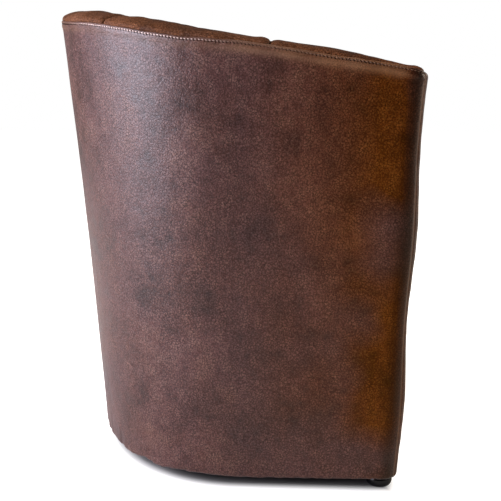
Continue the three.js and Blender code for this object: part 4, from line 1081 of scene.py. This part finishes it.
def glide_section():
    """Radii and heights round half a glide: its screw's recess, rounded sole, side and top."""
    recess, deep = FOOT_RECESS_RADIUS, FOOT_RECESS_DEPTH
    section = [(GLIDE_BORE, deep), (recess - GLIDE_CHAMFER, deep), (recess, deep - GLIDE_CHAMFER)]
    section += [(recess, GLIDE_CHAMFER), (recess + GLIDE_CHAMFER, 0)]
    for turn in np.radians(np.arange(0, 91, 10)):
        across = lerp(FOOT_SOLE_RADIUS, FOOT_RADIUS, math.sin(turn))
        section.append((across, FOOT_ROUND_HEIGHT * (1 - math.cos(turn))))
    section += [(FOOT_RADIUS - inward * MM, FOOT_HEIGHT - down * MM) for inward, down in GLIDE_GROOVE]
    return section + [(GLIDE_BORE, FOOT_HEIGHT)]


def make_glide(word):
    """A moulded glide: its section spun round its screw."""
    low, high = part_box(f"foot_{word}")
    centre = (low + high) / 2
    bm = bmesh.new()
    ring = [bm.verts.new((centre.x + across, centre.y, height)) for across, height in glide_section()]
    edges = [bm.edges.new(pair) for pair in zip(ring, ring[1:] + ring[:1])]
    screw = {"cent": (centre.x, centre.y, 0), "axis": (0, 0, 1)}
    bmesh.ops.spin(bm, geom=ring + edges, angle=2 * math.pi, steps=48, use_merge=True, **screw)
    bmesh.ops.remove_doubles(bm, verts=bm.verts[:], dist=0.01 * MM)
    bmesh.ops.recalc_face_normals(bm, faces=bm.faces[:])
    mesh = mesh_of(bm, f"glide_{word}")
    piece(f"glide_{word}", mesh, [f"foot_{word}"], "black_plastic")


def make_base_cloth():
    """The cloth stretched under the base, a little slack between its staples."""
    station = np.linspace(CORNER_END, -CORNER_END, DUST_SIDES)
    outline = wall(station, DUST_INSET, SHELL_BOTTOM, rounded=True)
    front = np.linspace(outline[-1], outline[0], DUST_SIDES // 4 + 2)[1:-1]
    outline = np.concatenate([outline, front])
    centre = np.array([0, -DUST_CENTRE, DUST_BOTTOM])
    rings = []
    for share in np.linspace(1, 0, DUST_RINGS):
        ring = lerp(centre, outline, max(share, DUST_MIDDLE_SHARE))
        slack = ripple(ring[:, 0], ring[:, 1], 60, 60, 111.0) * (1 - share)
        ring[:, 2] = DUST_BOTTOM + DUST_SLACK * slack
        rings.append(ring)
    mesh = lofted("base_cloth", rings, closed=False)
    cloth = piece("base_cloth", mesh, ["dust_cover"], "black_cloth")
    thicken(cloth, DUST_THICKNESS)


# The scene round the chair


CAMERA_PLACE = Vector((-1631.4, -118.7, 694.6)) * MM
CAMERA_AIM = Vector((0.97427, 0.05546, -0.21847))
CAMERA_LENS = 65.2
SENSOR = 36.0


def make_camera():
    data = bpy.data.cameras.new("camera")
    data.lens = CAMERA_LENS
    data.sensor_width = SENSOR
    camera = placed("camera", data)
    camera.location = CAMERA_PLACE
    camera.rotation_euler = CAMERA_AIM.to_track_quat("-Z", "Y").to_euler()
    bpy.context.scene.camera = camera


def make_lamp(name, place, aim, size, power, colour):
    """A soft box, from its place towards a point, with its size in metres and its power in watts."""
    data = bpy.data.lights.new(name, "AREA")
    data.shape = "RECTANGLE"
    data.size, data.size_y = size
    data.energy = power
    data.color = linear(colour)[:3]
    lamp = placed(name, data)
    lamp.location = place
    lamp.rotation_euler = (Vector(aim) - Vector(place)).to_track_quat("-Z", "Y").to_euler()


ROOM_LEVEL = 0.08
ROOM_COLOUR = "#fff0dc"
# How much of the white backdrop a mirrored ray sees, full from this far out towards +X
MIRRORED_WHITE = 0.2
MIRRORED_FROM = 0.8
# Soft boxes: name, place, point that they face, size in metres, power in watts and colour.
LAMPS = [
    ("window_box", (-1.3, 2.6, 1.2), (0, 0.05, 0.4), (2.1, 2.2), 228, "#ecebff"),
    ("back_box", (0.2, 3.0, 1.2), (0, 0.05, 0.4), (1.5, 2.0), 24, "#ecebff"),
    ("front_box", (0.9, -2.9, 1.4), (0, 0, 0.4), (1.4, 1.6), 46, "#fff3e2"),
    ("top_box", (-0.3, -0.4, 2.7), (0, 0, 0.4), (2.4, 2.4), 31, "#ffeedd"),
]


def white_share(material, place):
    """Shares of the white backdrop in what a ray sees: all of it for the camera's rays and those
    let through, and for mirrored rays a small share on the side of +X, away from the camera."""
    rays = add(material, "LightPath").outputs
    x = add(material, "SeparateXYZ", place).outputs["X"]
    limits = (0.0, MIRRORED_FROM, 0.0, MIRRORED_WHITE)
    far = add(material, "MapRange", x, *limits, interpolation_type="SMOOTHSTEP")
    mirrored = add(material, "Math", rays["Is Glossy Ray"], far, operation="MULTIPLY")
    seen = (rays["Is Camera Ray"], rays["Is Transmission Ray"])
    return add(material, "Math", *seen, operation="MAXIMUM"), mirrored


def make_lamps():
    """The soft boxes, and round them a dark room with a white backdrop."""
    for lamp in LAMPS:
        make_lamp(*lamp)
    world = bpy.data.worlds.new("studio")
    world.use_nodes = True
    bpy.context.scene.world = world
    world.node_tree.nodes.clear()
    shares = white_share(world, add(world, "TexCoord").outputs["Generated"])
    white = add(world, "Math", *shares, operation="ADD")
    room = [level * ROOM_LEVEL for level in linear(ROOM_COLOUR)[:3]] + [1]
    colour = add(world, "Mix", white, room, (1, 1, 1, 1), data_type="RGBA")
    add(world, "OutputWorld", add(world, "Background", colour))


FLOOR_SIZE = 12.0
# The floor's white begins under the hem, this far in from the foot's outline, and is soon full.
WHITE_START = -30 * MM
WHITE_REACH = 34 * MM
# Under the chair the floor's colour is a painted shadow, darkening to this shaded colour over this reach
# in from the foot's outline
SHADE_REACH = 50 * MM
SHADED_FLOOR = "#4c4a48"
OPEN_FLOOR = "#e8e6dd"


def away_from_foot(material, place):
    """Distance out from the outline of the chair's foot on the floor, less than zero under it."""
    from_bend = add(material, "VectorMath", place, (0, BEND_START, 0), operation="ADD")
    round_bend = (1, BASE_WIDTH / 2 / (BASE_BACK + BEND_START), 0)
    rounded = add(material, "VectorMath", from_bend, round_bend, operation="MULTIPLY")
    behind = add(material, "VectorMath", rounded, (-FLOOR_SIZE, 0, 0), operation="MAXIMUM")
    reach = add(material, "VectorMath", behind, operation="LENGTH")
    aside = add(material, "Math", reach, BASE_WIDTH / 2, operation="SUBTRACT")
    y = add(material, "SeparateXYZ", place).outputs["Y"]
    ahead = add(material, "Math", -BASE_FRONT, y, operation="SUBTRACT")
    return add(material, "Math", aside, ahead, operation="MAXIMUM")


def pale_floor():
    """A matt pale floor that keeps the chair's shadow, with a painted shadow darkening its colour
    under the chair, and is seen as white all round it."""
    material, place = begin("pale_floor")
    away = away_from_foot(material, place)
    smooth = {"interpolation_type": "SMOOTHSTEP"}
    lift = add(material, "MapRange", away, WHITE_START, WHITE_START + WHITE_REACH, **smooth)
    open_floor = add(material, "MapRange", away, -SHADE_REACH, 0.3 * SHADE_REACH, **smooth)
    colours = (linear(SHADED_FLOOR), linear(OPEN_FLOOR))
    colour = add(material, "Mix", open_floor, *colours, data_type="RGBA")
    straight, mirrored = white_share(material, place)
    glow = add(material, "Math", straight, lift, mirrored, operation="MULTIPLY_ADD")
    sockets = {"Roughness": 0.9, "Specular IOR Level": 0.0}
    sockets.update({"Emission Color": (1, 1, 1, 1), "Emission Strength": glow})
    return complete(material, colour, [], sockets)


def make_floor():
    """The floor, which is no part of the chair."""
    bm = bmesh.new()
    bmesh.ops.create_grid(bm, x_segments=4, y_segments=4, size=FLOOR_SIZE / 2)
    mesh = mesh_of(bm, "floor")
    mesh.materials.append(pale_floor())
    floor = placed("floor", mesh)


make_camera()
dress_nodes()
make_outside_cover()
make_inside_covers()
for word, side in (("left", -1), ("right", 1)):
    make_facing(word, side)
make_front_panel()
make_seat()
make_stitches()
for word in ("front_left", "front_right", "back_left", "back_right"):
    make_glide(word)
make_base_cloth()
make_lamps()
make_floor()

bpy.context.scene.view_settings.view_transform = "Standard"
